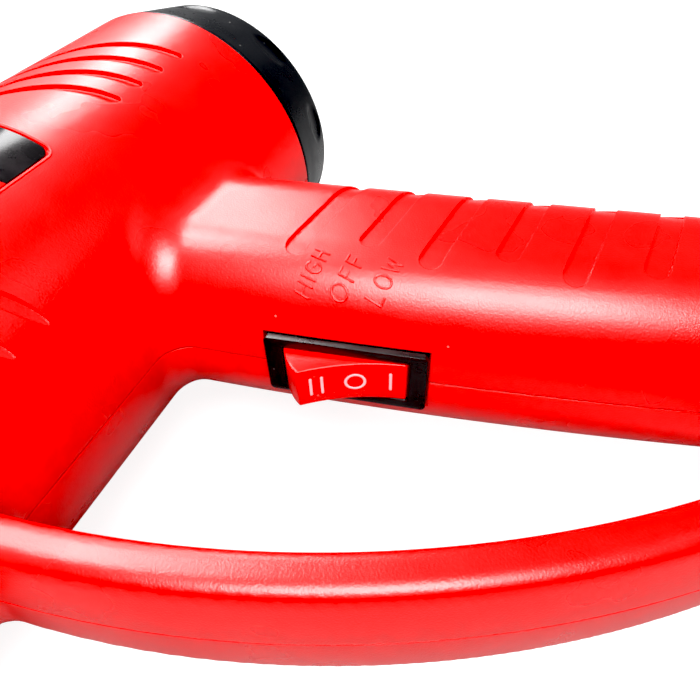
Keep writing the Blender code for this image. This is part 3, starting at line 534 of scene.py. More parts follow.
def sampled(field, step, depth):
    """The field on a grid, closed just past the middle and the rear, where later cuts go."""
    counts = np.ceil((FIELD_HIGH - FIELD_LOW) / step).astype(int)
    axes = [low + step * np.arange(n) for low, n in zip(FIELD_LOW, counts)]
    x, y, z = np.meshgrid(*axes, indexing="ij", sparse=True)
    values = np.maximum(np.maximum(field(x, y, z) + depth, MIDDLE - z), REAR - x)
    return np.ascontiguousarray(values, dtype=np.float32)


def slope(field, points, reach=0.05):
    x, y, z = points.T
    return np.stack(
        [
            field(x + reach, y, z) - field(x - reach, y, z),
            field(x, y + reach, z) - field(x, y - reach, z),
            field(x, y, z + reach) - field(x, y, z - reach),
        ],
        axis=1,
    ) / (2 * reach)


def skin_mesh(field, step, depth=0.0, settle=True):
    """The skin of a field, set in by depth, as a bmesh in metres."""
    grid = openvdb.FloatGrid()
    grid.copyFromArray(sampled(field, step, depth))
    points, quads = grid.convertToQuads(0.0)
    points = points.astype(np.float64) * step + FIELD_LOW
    near = (points[:, 2] > MIDDLE + 0.8) & (points[:, 0] > REAR + 1)
    for _ in range(3 if settle else 0):
        moving = points[near]
        way = slope(field, moving)
        size = np.maximum((way**2).sum(axis=1), 0.2)
        points[near] -= way * ((field(*moving.T) + depth) / size)[:, None]
    mesh = bmesh.new()
    verts = [mesh.verts.new(point) for point in points * MM]
    for a, b, c, d in quads:
        mesh.faces.new((verts[a], verts[b], verts[c], verts[d]))
    bmesh.ops.recalc_face_normals(mesh, faces=mesh.faces)
    return mesh


WALL, GRIP_DEPTH = 2.5, 0.6
half_skin = skin_mesh(shell_field, 0.95)
half_hollow = skin_mesh(shell_field, 2.1, depth=WALL, settle=False)
core = skin_mesh(shell_field, 1.4, depth=GRIP_DEPTH)
print("half skin has", len(half_skin.faces), "faces; its hollow has", len(half_hollow.faces))

# %% [markdown]
# Three kinds of cut break up the shell. Curved blind louvres climb the barrel's side, shallow
# round-ended grips wrap the back of the handle, and a shallow bed holds the label. Each cutter
# follows the skin, so that its floor keeps an even depth.

# %% Cutters that follow the barrel
LOUVRE_HALF, LOUVRE_DEPTH, LOUVRE_SWEEP = 1.55, 1.25, (0.13, 0.0058)
REAR_LOUVRES, FRONT_LOUVRES = (36.2, 44.4, 52.4, 60.2), (108.8, 116.8, 124.8)
LABEL_X, LABEL_ANGLE, LABEL_DEPTH = (81.5, 112.0), 25.0, 0.55


def barrel_point(x, angle, offset=0.0):
    """A point on the barrel; the angle is 0 at the side, in degrees, and grows towards the top."""
    run = min(x, SHOULDER_X) - CAP_X
    radius = RIM_RADIUS - SHRINK * run + offset
    turn = radians(angle)
    return Vector((x, DROOP * run - radius * sin(turn), radius * cos(turn))) * MM


def louvre(x0, start, end, taper=1.0):
    """A steep-sided groove that climbs from start to end and sweeps forward.

    A taper above 1 draws its ends out thin and shallow.
    """
    rings = []
    steps = 44
    wall = [(1, 3), (1, -0.9), (0.93, -1.1), (0.8, -1.2), (0.6, -LOUVRE_DEPTH)]
    section = wall + [(-u, v) for u, v in reversed(wall)]
    for i in range(steps + 1):
        climbed = (end - start) * (1 - cos(pi * i / steps)) / 2
        x = x0 + LOUVRE_SWEEP[0] * climbed + LOUVRE_SWEEP[1] * climbed**2
        inside = min(climbed, end - start - climbed) * RIM_RADIUS * pi / 180 / LOUVRE_HALF
        narrow = sqrt(max(0.0009, 1 - max(0, 1 - inside / taper) ** 2))
        wide = LOUVRE_HALF * narrow
        deep = narrow**2 if taper > 1 else 0.6 + 0.4 * narrow
        ring = [(x + wide * u, v if v > 0 else v * deep) for u, v in section]
        rings.append([barrel_point(at, start + climbed, out) for at, out in ring])
    return loft(rings)


def label_shape(shrink, low, high):
    """A plate with round corners that follows the barrel, between two offsets from its skin."""
    corner = 2.2
    x0, x1 = LABEL_X[0] + shrink, LABEL_X[1] - shrink
    limit = LABEL_ANGLE - shrink / RIM_RADIUS * 180 / pi
    sliver = 0.01
    rings = []
    steps = 56
    for i in range(steps + 1):
        angle = -limit * cos(pi * i / steps)
        inside = (limit - abs(angle)) * RIM_RADIUS * pi / 180 / corner
        trim = corner * (1 - sqrt(max(0.0001, 1 - max(0, 1 - inside) ** 2)))
        across = [x0 + trim, x0 + trim + sliver, x1 - trim - sliver, x1 - trim]
        ring = [barrel_point(x, angle, low) for x in across]
        rings.append(ring + [barrel_point(x, angle, high) for x in reversed(across)])
    return loft(rings)


louvres = joined(
    [louvre(x, -25, 32) for x in REAR_LOUVRES]
    + [louvre(x, -58, -12, taper=6.0) for x in FRONT_LOUVRES]
)
label_bed = label_shape(-0.35, -LABEL_DEPTH - 0.2, 3)
print("louvre cutters have", len(louvres.faces), "faces")

# %% [markdown]
# The grips are long and short in turn, and run down the handle towards its back. Each is a
# round-ended bar standing across the handle. Taking away a core that lies just under the skin
# leaves a cutter of the right depth, which stops part of the way round the back corner.

# %% Cutters for the handle
GRIP_PITCH, GRIP_HALF, GRIP_SLOPE = 12.45, 2.1, radians(15.4)
GRIP_ENDS, GRIP_REAR = (-11.2, -14.6), -41.3
GRIP_FIRST, GRIP_COUNT = (-11.5, -12.0), 8


def handle_place(n=0.0, h=0.0, turn=0.0):
    """A frame on the handle: X is n, out of its front, and Y is h, down its length, in mm."""
    along = Matrix.Translation((n * MM, h * MM, 0)) @ Matrix.Rotation(turn, 4, "Z")
    start = Matrix.Translation((SWITCH[0] * MM, SWITCH[1] * MM, 0))
    return start @ Matrix.Rotation(RAKE, 4, "Z") @ along


def grip(index):
    end = GRIP_ENDS[index % 2]
    arc = [pi * (i / 16 - 0.5) for i in range(17)]
    outline = [(GRIP_HALF * (cos(a) - 1), GRIP_HALF * sin(a)) for a in arc]
    rear = (GRIP_REAR - end) / cos(GRIP_SLOPE)
    outline += [(rear, GRIP_HALF), (rear, -GRIP_HALF)]
    h = GRIP_FIRST[1] + GRIP_PITCH * index + (GRIP_FIRST[0] - end) * sin(GRIP_SLOPE)
    bar = prism([(x * MM, y * MM) for x, y in outline], 4 * MM, 30 * MM)
    return placed(bar, handle_place(end, h, -GRIP_SLOPE))


def drilled(x, y, radius, low, high, steps=32):
    """A round cutter along Z at a place on the plan, in metres."""
    rim = [2 * pi * i / steps for i in range(steps)]
    return prism([(x + radius * cos(a), y + radius * sin(a)) for a in rim], low, high)


grips = cut(joined([grip(i) for i in range(GRIP_COUNT)]), core)
POST_RADIUS, WELL_RADIUS, HOLE_RADIUS = 4.8 * MM, 3.7 * MM, 1.8 * MM
screws = [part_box(f"housing_screw_{i + 1}") for i in range(7)]
screw_spots = [((low + high) / 2).to_2d() for low, high in screws]
posts = joined([drilled(*spot, POST_RADIUS, -9 * MM, 50 * MM) for spot in screw_spots])
print("grip cutters have", len(grips.faces), "faces;", len(screw_spots), "screws")

# %% [markdown]
# Both halves share everything except their screw holes: the screws drop into deep wells on the
# right half and bite into blind holes on the left. So one half is cut once, copied, and turned
# into its mirror image. A hairline is left between them for the parting line.

# %% Shell halves
SEAM = 0.13 * MM
flange = block((-2.45 * MM, -15.8 * MM, -8 * MM), (9 * MM, 15.8 * MM, 7.3 * MM))
case_room = block((-12 * MM, -14.1 * MM, -8 * MM), (-2 * MM, 14.1 * MM, 6.5 * MM))
pockets = [placed(mesh, handle_place()) for mesh in (flange, case_room)]
cord_axis = handle_place(-25, HANDLE_END, pi / 2)


def bore(low, high, radius, steps=96):
    """A round cutter along X, in mm."""
    outline = [(low, 0), (low, radius), (high, radius), (high, 0)]
    return turned([(x * MM, r * MM) for x, r in outline], steps, hollow=False)


nose_bore, inlet_bore = bore(160, 180, 20.6), placed(bore(-12, 8, 6.6, 64), cord_axis)
keep = block(((CAP_X + 0.15) * MM, -0.06, SEAM), (0.2, 0.2, 0.06))
common = cut(half_skin, keep, operation="INTERSECT")
hollow = cut(half_hollow, posts)
common = cut(common, hollow, louvres, label_bed, grips, *pockets, nose_bore, inlet_bore)
print("one half has", len(common.faces), "faces")

# %% Left and right
left_bites = joined([drilled(*spot, HOLE_RADIUS, -1 * MM, 13 * MM) for spot in screw_spots])
wells = [drilled(*spot, WELL_RADIUS, -60 * MM, -10 * MM, 48) for spot in screw_spots]
shanks = [drilled(*spot, HOLE_RADIUS, -12 * MM, 1 * MM) for spot in screw_spots]
mirrored = common.copy()
bmesh.ops.scale(mirrored, vec=(1, 1, -1), verts=mirrored.verts)
bmesh.ops.reverse_faces(mirrored, faces=mirrored.faces)
left = cut(common, left_bites)
right = cut(mirrored, joined(wells), joined(shanks))
for side, mesh in (("left", left), ("right", right)):
    made = piece(f"shell_{side}", mesh, shell_red, replaces=[f"housing_{side}"], sharp=28)
    made.modifiers.new("even_gloss", "WEIGHTED_NORMAL").keep_sharp = True
    print(made.name, len(made.data.polygons), "faces")

# %% [markdown]
# Three words are moulded on the handle beside the switch, as thin raised strokes that follow
# the rounded corner. A stroke is a bead: a small domed strip swept along a line that lies on
# the surface. The switch's own marks are flatter beads of white paint.

# %% Beads along a line
def bead(points, normals, half, height, sink=0.15, looped=False):
    """Sweep a domed strip along the points; sizes are in mm."""
    shape = [(-1, -sink), (-1, 0.0), (-0.72, 0.72 * height), (-0.3, height)]
    shape += [(-u, v) for u, v in reversed(shape)]
    rings = []
    count = len(points)
    for i, (point, normal) in enumerate(zip(points, normals)):
        ahead = points[(i + 1) % count] if looped or i + 1 < count else point
        behind = points[i - 1] if looped or i else point
        side = (ahead - behind).cross(normal).normalized() * half * MM
        rings.append([point + side * u + normal * v * MM for u, v in shape])
    if not looped:
        for end, way in ((0, points[0] - points[1]), (-1, points[-1] - points[-2])):
            nose = way.normalized() * half * 0.7 * MM
            tip = [points[end] + (p - points[end]) * 0.45 + nose for p in rings[end]]
            rings.insert(0 if end == 0 else len(rings), tip)
    return loft(rings, looped)


def ellipse_arc(centre, half, start, end, steps=24):
    turns = [radians(start + (end - start) * i / steps) for i in range(steps + 1)]
    return [(centre[0] + half[0] * cos(a), centre[1] + half[1] * sin(a)) for a in turns]


def filled_in(stroke, gap=0.12):
    """Add points along straight strokes, so that they bend with the surface."""
    dense = []
    for (u0, v0), (u1, v1) in zip(stroke, stroke[1:]):
        steps = max(1, int(sqrt((u1 - u0) ** 2 + (v1 - v0) ** 2) / gap))
        dense += [(u0 + (u1 - u0) * i / steps, v0 + (v1 - v0) * i / steps) for i in range(steps)]
    return dense + [stroke[-1]]


LETTERS = {
    "H": (0.6, [[(0, 0), (0, 1)], [(0.6, 0), (0.6, 1)], [(0, 0.5), (0.6, 0.5)]]),
    "I": (0.0, [[(0, 0), (0, 1)]]),
    "G": (0.72, [ellipse_arc((0.38, 0.5), (0.38, 0.5), 48, 350) + [(0.76, 0.46), (0.42, 0.46)]]),
    "O": (0.76, [ellipse_arc((0.38, 0.5), (0.38, 0.5), 90, 450)]),
    "F": (0.48, [[(0, 0), (0, 1), (0.48, 1)], [(0, 0.52), (0.4, 0.52)]]),
    "L": (0.46, [[(0, 1), (0, 0), (0.46, 0)]]),
    "W": (0.9, [[(0, 1), (0.22, 0), (0.45, 0.85), (0.68, 0), (0.9, 1)]]),
}
LETTER_GAP, STROKE_HALF, STROKE_HEIGHT = 0.42, 0.25, 0.24
print("alphabet of", len(LETTERS), "letters")

# %% Words on the handle
# Each word: where it starts, its whole run, and its rise, as (h, n) down and out of the handle.
WORDS = {
    "HIGH": ((-7.3, -4.6), (2.4, -7.2), (-2.8, -0.8)),
    "OFF": ((-0.7, -4.3), (2.4, -6.9), (-2.9, -1.0)),
    "LOW": ((6.0, -4.7), (2.9, -6.9), (-3.0, -0.9)),
}


def on_handle(h, n):
    """A point on the handle's rounded left skin, and its normal, from (h, n) in mm."""
    across = max(0.0, n - (handle_front(h) - HANDLE_CORNER))
    up = sqrt(HANDLE_CORNER**2 - across**2)
    place = handle_place()
    point = place @ (Vector((n, h, HANDLE_HALF - HANDLE_CORNER + up)) * MM)
    return point, place.to_3x3() @ Vector((across, 0, up)).normalized()


def word_strokes(word):
    (h0, n0), (run_h, run_n), (rise_h, rise_n) = WORDS[word]
    total = sum(LETTERS[c][0] for c in word) + LETTER_GAP * (len(word) - 1)
    pen = 0.0
    for letter in word:
        width, strokes = LETTERS[letter]
        for stroke in strokes:
            spots = []
            for u, v in filled_in(stroke):
                along = (pen + u) / total
                spot = (h0 + run_h * along + rise_h * v, n0 + run_n * along + rise_n * v)
                spots.append(on_handle(*spot))
            points, normals = zip(*spots)
            yield bead(points, normals, STROKE_HALF, STROKE_HEIGHT)
        pen += width + LETTER_GAP


words = joined([stroke for word in WORDS for stroke in word_strokes(word)])
made = piece("switch_words", words, shell_red)
print(made.name, len(made.data.polygons), "faces")

# %% [markdown]
# The rear cap is a tapered black cup. Ten finger scallops are pressed into its side near the
# rear edge, and fourteen slots let air in. The scallops make its radius depend on the turn as
# well as on the length, so it is lofted ring by ring rather than spun.

# %% Rear cap
SCALLOPS, SCALLOP_X, SCALLOP_HALF, SCALLOP_DEPTH = 10, 6.2, (3.6, 5.0), 0.75
CAP_SLOTS = 14


def scallop(x, turn):
    """How far the cap's side is pressed in, in mm."""
    pitch = 2 * pi / SCALLOPS
    off = (turn + radians(4) + pitch / 2) % pitch - pitch / 2
    reach = ((x - SCALLOP_X) / SCALLOP_HALF[0]) ** 2 + (off * 35.8 / SCALLOP_HALF[1]) ** 2
    return SCALLOP_DEPTH * max(0.0, 1 - reach) ** 0.6


def capsule(inner, outer, half, steps=10):
    """A round-ended slot's outline on the rear face, as (y, z) along Y."""
    ends = [((outer - half), -pi / 2), ((inner + half), pi / 2)]
    outline = []
    for centre, start in ends:
        turns = [start + pi * i / steps for i in range(steps + 1)]
        outline += [(centre + half * cos(a), half * sin(a)) for a in turns]
    return outline


def build_cap():
    edge = [(2.4 - 2.4 * sin(a), 32.8 + 2.35 * cos(a)) for a in (pi / 2, 1.2, 0.8, 0.4, 0)]
    side = [(x, 35.15 + 3.2 * (x - 2.4) / 17.6) for x in np.arange(3.0, 20.0, 0.55)]
    rear = [(0, 0.02), (0, 9.6), (0.5, 10.0), (0.5, 10.8), (0, 11.2)]
    rear += [(0, 31.1), (0.35, 31.3), (0.35, 31.7), (0, 31.9)]
    front = [(20.3, 38.4), (20.7, 38.3), (20.85, 37.9)]
    inside = [(20.85, 35.3), (26, 35.3), (26, 33.5), (3, 32.4), (3, 0.02)]
    steps = 300
    rings = []
    for x, radius in rear + edge + side + front + inside:
        ring = []
        for i in range(steps):
            turn = 2 * pi * i / steps
            pressed = scallop(x, turn) if 34 < radius < 38 and x < 12 else 0.0
            out = radius - pressed
            ring.append(Vector((x, -out * sin(turn), out * cos(turn))) * MM)
        rings.append(ring)
    cap = loft(rings)
    slots = []
    upright = Matrix(((0, 0, -1, 0), (1, 0, 0, 0), (0, 1, 0, 0), (0, 0, 0, 1)))
    for i in range(CAP_SLOTS):
        bar = prism([(y * MM, z * MM) for y, z in capsule(14, 30, 1.7)], -6 * MM, 3 * MM)
        placed(bar, Matrix.Rotation(2 * pi * i / CAP_SLOTS, 4, "X") @ upright)
        bmesh.ops.recalc_face_normals(bar, faces=bar.faces)
        slots.append(bar)
    return cut(cap, joined(slots))


made = piece("rear_cap_cup", build_cap(), cap_black, replaces=["rear_cap"])
print(made.name, len(made.data.polygons), "faces")

# %% [markdown]
# The label on the left is a glossy black film in a shallow bed, with a plain red band instead of
# any mark and, beside it, a thin grey line that is painted reflection, a streak of glare laid into
# the colour. The rating plate on the right is brushed foil with blank ruled panels. The pattern is
# worked out from the place on the film, so it needs no picture.

# %% Label and rating plate
def round_rectangle(half_h, half_z, corner, steps=6):
    points = []
    for quarter, (sh, sz) in enumerate([(1, 1), (-1, 1), (-1, -1), (1, -1)]):
        for step in range(steps + 1):
            turn = (quarter + step / steps) * pi / 2
            across = sh * (half_h - corner) + corner * cos(turn)
            points.append((across, sz * (half_z - corner) + corner * sin(turn)))
    return points


def stripe(place, low, high, edge=0.1 * MM):
    """A mask that is 1 between two places."""
    return place.ramp(low, low + edge) * place.ramp(high, high - edge)


def label_film():
    finish = Finish("label_black", IOR=1.5, Specular_IOR_Level=0.2)
    clouds = finish.noise(4 * MM, 4.0, 0.6)
    fine = finish.noise(0.4 * MM, 3.0)
    x = finish.node("SeparateXYZ", {}, {0: finish.place}, "X")
    y = finish.node("SeparateXYZ", {}, {0: finish.place}, "Y")
    lean = x + y * 0.35
    # The thin stripe is painted reflection: a grey streak of glare laid into the colour. The red
    # band beside it is print.
    band, thin = stripe(lean, 0.0995, 0.1035), stripe(lean, 0.1048, 0.1056)
    tone = finish.mix(clouds.ramp(0.3, 0.7), (0.008, 0.0075, 0.008), (0.016, 0.014, 0.015))
    striped = finish.mix(band, tone, (0.62, 0.012, 0.01))
    print_and_painted_glare = finish.mix(thin, striped, (0.6, 0.6, 0.62))
    finish.bump(fine + clouds, 0.008 * MM, 0.4, soften=0.15 * MM)
    return finish.use(Base_Color=print_and_painted_glare, Roughness=clouds.ramp(0.2, 0.8, 0.1, 0.14))


def rating_foil():
    finish = Finish("rating_foil", Metallic=0.85)
    brushed = finish.noise(0.35 * MM, 3.0, 0.6, finish.stretched((0.08, 1.0, 1.0)))
    x = finish.node("SeparateXYZ", {}, {0: finish.place}, "X")
    y = finish.node("SeparateXYZ", {}, {0: finish.place}, "Y")
    inside = stripe(x, 0.0845, 0.1090)
    rules = y.maths("PINGPONG", y, 0.0024).ramp(0.0022, 0.00225) * inside
    tone = finish.mix(brushed, (0.5, 0.5, 0.51), (0.64, 0.64, 0.65))
    ruled = finish.mix(rules, tone, (0.03, 0.03, 0.035))
    finish.bump(brushed, 0.01 * MM, 0.4)
    return finish.use(Base_Color=ruled, Roughness=brushed.ramp(0.3, 0.7, 0.28, 0.42))


def label_rim(side):
    """A fine raised line of shell plastic round the bed."""
    corner, out = 2.6, 0.75
    arc = RIM_RADIUS * pi / 180
    half_x = (LABEL_X[1] - LABEL_X[0]) / 2 + out
    outline = round_rectangle(half_x, LABEL_ANGLE * arc + out, corner, 8)
    spots, normals = [], []
    for (u, v), (u1, v1) in zip(outline, outline[1:] + outline[:1]):
        steps = max(1, int(sqrt((u1 - u) ** 2 + (v1 - v) ** 2) / 1.2))
        for i in range(steps):
            x = (LABEL_X[0] + LABEL_X[1]) / 2 + u + (u1 - u) * i / steps
            angle = (v + (v1 - v) * i / steps) / arc
            point, above = barrel_point(x, angle), barrel_point(x, angle, 1.0)
            spots.append(Vector((point.x, point.y, side * point.z)))
            normals.append(Vector((0, above.y - point.y, side * (above.z - point.z))).normalized())
    return bead(spots, normals, 0.24, 0.13, looped=True)


film = label_shape(0.05, -LABEL_DEPTH - 0.15, -0.18)
made = piece("label_film", film, label_film(), replaces=["label_plate"])
for name, side in (("label_rim", 1), ("rating_rim", -1)):
    piece(name, label_rim(side), shell_red)
foil = label_shape(0.05, -LABEL_DEPTH - 0.15, -0.18)
bmesh.ops.scale(foil, vec=(1, 1, -1), verts=foil.verts)
bmesh.ops.reverse_faces(foil, faces=foil.faces)
other = piece("rating_foil", foil, rating_foil(), replaces=["rating_plate"])
print(made.name, "and", other.name, "laid in their beds")

# %% [markdown]
# The switch snaps into the handle's front. Its black frame stands just proud of the red skin,
# with a small bevel outside and a softer one round the opening. The case behind it is one
# closed tray, so frame and case are rings of rounded rectangles, from the tray's back, round
# the flange and down the inside.

# %% Switch case
CASE_RINGS = [  # half length, half width, corner, and how far out of the handle
    (13.8, 6.2, 0.8, -20.0),
    (13.8, 6.2, 0.8, -2.15),
    (15.5, 7.0, 1.0, -2.15),
    (15.5, 7.0, 1.0, -0.2),
    (15.45, 6.95, 0.95, -0.06),
    (15.3, 6.8, 0.9, 0.0),
    (12.5, 5.4, 0.7, 0.0),
    (12.2, 5.1, 0.6, -0.08),
    (12.0, 4.9, 0.5, -0.3),
    (11.95, 4.85, 0.5, -0.6),
    (12.8, 4.85, 0.5, -0.62),
    (12.8, 4.85, 0.5, -18.2),
]
case_rings = []
for half_h, half_z, corner, n in CASE_RINGS:
    outline = round_rectangle(half_h, half_z, corner)
    case_rings.append([Vector((n, h, z)) * MM for h, z in outline])
case = placed(loft(case_rings), handle_place())
made = piece("switch_case", case, switch_black, replaces=["switch_body"])
print(made.name, len(made.data.polygons), "faces")

# %% [markdown]
# The rocker is a dished red key that tips about a pin. Its side outline is drawn once about the
# pin and given thickness, then every hard edge is bevelled, as a mould would leave it. It is
# drawn in the position of the frame's own rocker and rides on that body, with its marks.

# %% Rocker
PIVOT, TILT = -4.2, radians(16)
ROCKER_HALF, ROCKER_WIDTH, END_HEIGHT, MIDDLE_HEIGHT = 10.0, 4.6, 7.25, 6.0
rocker_place = handle_place(PIVOT, 0, TILT)


def rocker_top(h):
    return MIDDLE_HEIGHT + (END_HEIGHT - MIDDLE_HEIGHT) * (h / ROCKER_HALF) ** 2


def rocker_outline():
    reach = sqrt(ROCKER_HALF**2 + END_HEIGHT**2)
    top = atan2(END_HEIGHT, ROCKER_HALF)
    dish = [(rocker_top(h), h) for h in np.linspace(ROCKER_HALF, -ROCKER_HALF, 33)]
    turns = [top - (top + radians(6)) * i / 12 for i in range(1, 13)]
    down = [(reach * sin(a), reach * cos(a)) for a in turns]
    belly = [(-2.6, -9), (-2.6, -2.6), (-7.4, -2.2), (-7.4, 2.2), (-2.6, 2.6), (-2.6, 9)]
    outline = dish + [(n, -h) for n, h in down] + belly + down[::-1]
    return [(float(n) * MM, float(h) * MM) for n, h in outline]


key = prism(rocker_outline(), -ROCKER_WIDTH * MM, ROCKER_WIDTH * MM)
hard = [edge for edge in key.edges if edge.calc_face_angle(0) > radians(28)]
bmesh.ops.bevel(key, geom=hard, offset=0.32 * MM, segments=3, profile=0.5, affect="EDGES")
key = placed(key, rocker_place)
made = piece("rocker_key", key, rocker_red, "rocker", ["switch_rocker"])
print(made.name, len(made.data.polygons), "faces")

# %% Marks on the rocker
def mark_bead(path, half, looped=False):
    """A painted stroke on the rocker's dished top; the path is (h, z) in mm."""
    spots, normals = [], []
    for h, z in path:
        lean = 2 * (END_HEIGHT - MIDDLE_HEIGHT) * h / ROCKER_HALF**2
        spots.append(rocker_place @ (Vector((rocker_top(h), h, z)) * MM))
        normals.append(rocker_place.to_3x3() @ Vector((1, -lean, 0)).normalized())
    return bead(spots, normals, half, 0.035, 0.06, looped)


bars = [[(h, z) for z in np.linspace(-2.1, 2.1, 9)] for h in (-7.6, -5.5, 7.25)]
circle = [(0.7 + 1.8 * cos(2 * pi * i / 40), 1.8 * sin(2 * pi * i / 40)) for i in range(40)]
strokes = [mark_bead(bar, 0.27) for bar in bars] + [mark_bead(circle, 0.27, looped=True)]
made = piece("rocker_marks", joined(strokes), mark_white, "rocker", sharp=60)
print(made.name, len(made.data.polygons), "faces")

# %% [markdown]
# The front end is metal and ceramic. The nozzle is a drawn steel tube with a rolled lip, held
# by a ceramic ring in the shell's nose. Both are spun from an outline whose corners are first
# rounded, so that every edge catches a thin line of light.

# %% Nozzle and nose ring
def spun(name, points, material, node, radius=0.3 * MM, place=None, steps=128):
    outline = rounded_profile([(x * MM, r * MM) for x, r in points], radius)
    mesh = turned(outline, steps)
    if place:
        placed(mesh, place)
    return piece(name, mesh, material, replaces=[node], sharp=50)


tube = [(98, 16.7), (230, 16.7), (230, 18.4), (228, 18.4), (227.4, 17.5), (219, 17.5)]
tube += [(218.4, 17.85), (217.4, 17.85), (216.8, 17.5), (99, 17.5), (99, 21), (98, 21)]
ring = [(166, 17.8), (176, 17.8), (176, 22), (175, 23), (172.3, 23), (172.3, 20.3)]
ring += [(169.2, 20.3), (169.2, 22.2), (166, 22.2)]
gland = [(-8, 4.4), (2, 4.4), (2, 7.2), (0.4, 7.75), (0.4, 6.3), (-2.9, 6.3)]
gland += [(-2.9, 7.6), (-8, 7.6)]
made = [
    spun("nozzle_pipe", tube, nozzle_steel, "nozzle_tube"),
    spun("nose_collar", ring, ceramic, "nose_ring", 0.5 * MM),
    spun("cord_bush", gland, inner_black, "cord_gland", 0.4 * MM, cord_axis, 72),
]
print("spun", [one.name for one in made])

# %% [markdown]
# Through the nozzle's mouth the heater shows: two interleaved wire coils on a mica cross. The
# coils are helices of round wire, wound finely enough to look smooth, and each replaces a
# coarse coil in the frame that it follows exactly.

# %% Heater coils
COIL_START, COIL_LENGTH, COIL_RADIUS, WIRE_RADIUS = 110, 80, 13.4, 0.5


def wire_coil(name, node, phase, turns=5, steps=24):
    points = []
    for i in range(turns * steps + 1):
        turn = phase + 2 * pi * i / steps
        x = COIL_START + COIL_LENGTH * i / (turns * steps)
        points.append(Vector((x, COIL_RADIUS * cos(turn), COIL_RADIUS * sin(turn))) * MM)
    curve = bpy.data.curves.new(name, "CURVE")
    curve.dimensions = "3D"
    curve.bevel_depth = WIRE_RADIUS * MM
    curve.bevel_resolution = 3
    curve.use_fill_caps = True
    spline = curve.splines.new("POLY")
    spline.points.add(len(points) - 1)
    for spot, point in zip(spline.points, points):
        spot.co = (*point, 1)
    curve.materials.append(heater_wire)
    made = bpy.data.objects.new(name, curve)
    bpy.context.scene.collection.objects.link(made)
    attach(made, "housing")
    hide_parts(node)
    return made


coils = [
    wire_coil("coil_low", "heater_coil_low", 0),
    wire_coil("coil_high", "heater_coil_high", pi),
]
print("wound", [one.name for one in coils])

# %% [markdown]
# Behind the rear slots sits a dust screen of woven wire in a pressed rim. Wires run both ways,
# each as long as the circle allows, and bow over and under by half their thickness.

# %% Dust screen
SCREEN_X, SCREEN_REACH, SCREEN_PITCH, SCREEN_WIRE = 3.8, 31.0, 2.2, 0.16


def screen_wire(offset, upright):
    reach = sqrt(SCREEN_REACH**2 - offset**2)
    rings = []
    count = max(6, int(reach / (SCREEN_PITCH / 2)))
    for i in range(count + 1):
        along = reach * (2 * i / count - 1)
        lift = 0.09 * cos(pi * along / SCREEN_PITCH + (pi if upright else 0))
        centre = (offset, along) if upright else (along, offset)
        ring = []
        for corner in range(6):
            turn = pi * corner / 3
            side, up = SCREEN_WIRE * cos(turn), SCREEN_WIRE * sin(turn)
            y, z = (centre[0] + side, centre[1]) if upright else (centre[0], centre[1] + side)
            ring.append(Vector((SCREEN_X + lift + up, y, z)) * MM)
        rings.append(ring)
    return loft(rings)


offsets = [SCREEN_PITCH * i for i in range(-13, 14)]
wires = [screen_wire(offset, upright) for offset in offsets for upright in (True, False)]
rim_outline = [(3.4, 30), (4.2, 30), (4.2, 31.6), (3.4, 31.6)]
rim = turned(rounded_profile([(x * MM, r * MM) for x, r in rim_outline], 0.2 * MM), 96)
screen = joined(wires + [rim])
made = piece(
    "dust_screen", screen, screen_steel, replaces=["inlet_screen"], sharp=50
)
print(made.name, len(made.data.polygons), "faces")

# %% [markdown]
# Seven pan-head screws close the shell from the right. Each has a domed head with a cross
# recess, cut with two crossed bars, and each stands at a different turn, as a hand leaves them.

# %% Screws
def screw_mesh(head=3.1):
    outline = [(-12.0, 0.02), (-12.0, 1.2), (-11.75, 2.1), (-11.2, 2.8), (-10.6, head)]
    outline += [(-10.3, head), (-10.3, 1.5), (12.0, 1.5), (12.6, 0.02)]
    spun_head = turned([(x * MM, r * MM) for x, r in outline], 48, hollow=False)
    spun_head = placed(spun_head, Matrix.Rotation(-pi / 2, 4, "Y"))
    long, wide, start, deep = 1.9 * MM, 0.42 * MM, -13 * MM, -10.9 * MM
    first = block((-long, -wide, start), (long, wide, deep))
    second = block((-wide, -long, start), (wide, long, deep + 0.01 * MM))
    return cut(spun_head, first, second)


for number, spot in enumerate(screw_spots, 1):
    turn = Matrix.Rotation(radians(37 * number), 4, "Z")
    screw = placed(screw_mesh(), Matrix.Translation((*spot, 0)) @ turn)
    node = f"housing_screw_{number}"
    piece(f"shell_screw_{number}", screw, screw_steel, replaces=[node])
print("fitted", len(screw_spots), "screws")

# %% [markdown]
# What is left of the frame has the right shape already: motor, fan, duct, switch works, wiring
# and rectifier. Those nodes stay, and each takes the finish of its own material.

# %% Finishes for the inner works
INNER = {
    "mica_sleeve": mica, "mica_cross": mica, "heater_base": ceramic, "thermal_cutout": brass,
    "motor_can": steel, "motor_end_bell": inner_black, "motor_mount": inner_black,
    "motor_bearing_front": bronze, "motor_bearing_rear": bronze, "magnet_upper": carbon,
    "magnet_lower": carbon, "brush_left": carbon, "brush_right": carbon,
    "fan_duct": inner_black, "motor_shaft": steel, "armature": steel, "commutator": copper,
    "fan_impeller": inner_black, "rocker_plunger": brass, "rocker_spring": steel,
    "switch_contact": brass, "switch_terminal_1": brass, "switch_terminal_2": brass,
    "switch_terminal_3": brass, "cord_clamp": inner_black, "clamp_screw_1": screw_steel,
    "clamp_screw_2": screw_steel, "terminal_block": inner_black, "lead_live": lead_brown,
    "lead_neutral": lead_blue, "lead_heater": lead_white, "rectifier_board": board_green,
    "diode_1": carbon, "diode_2": carbon, "diode_3": carbon, "diode_4": carbon,
}
for node, finish in INNER.items():
    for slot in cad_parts[node].material_slots:
        slot.material = finish
print("finished", len(INNER), "inner pieces")

# %% [markdown]
# The gun lies on a plain, very pale floor under soft studio light. Small windows of light
# stand behind the gun's rear and top, and draw the bright patches on the barrel and at the
# handle's root. A skylight and a softbox overhead fill the guard's flat and the handle's
# shoulder, a faint one to the side shows the front grooves, and a dim surround fills the rest.

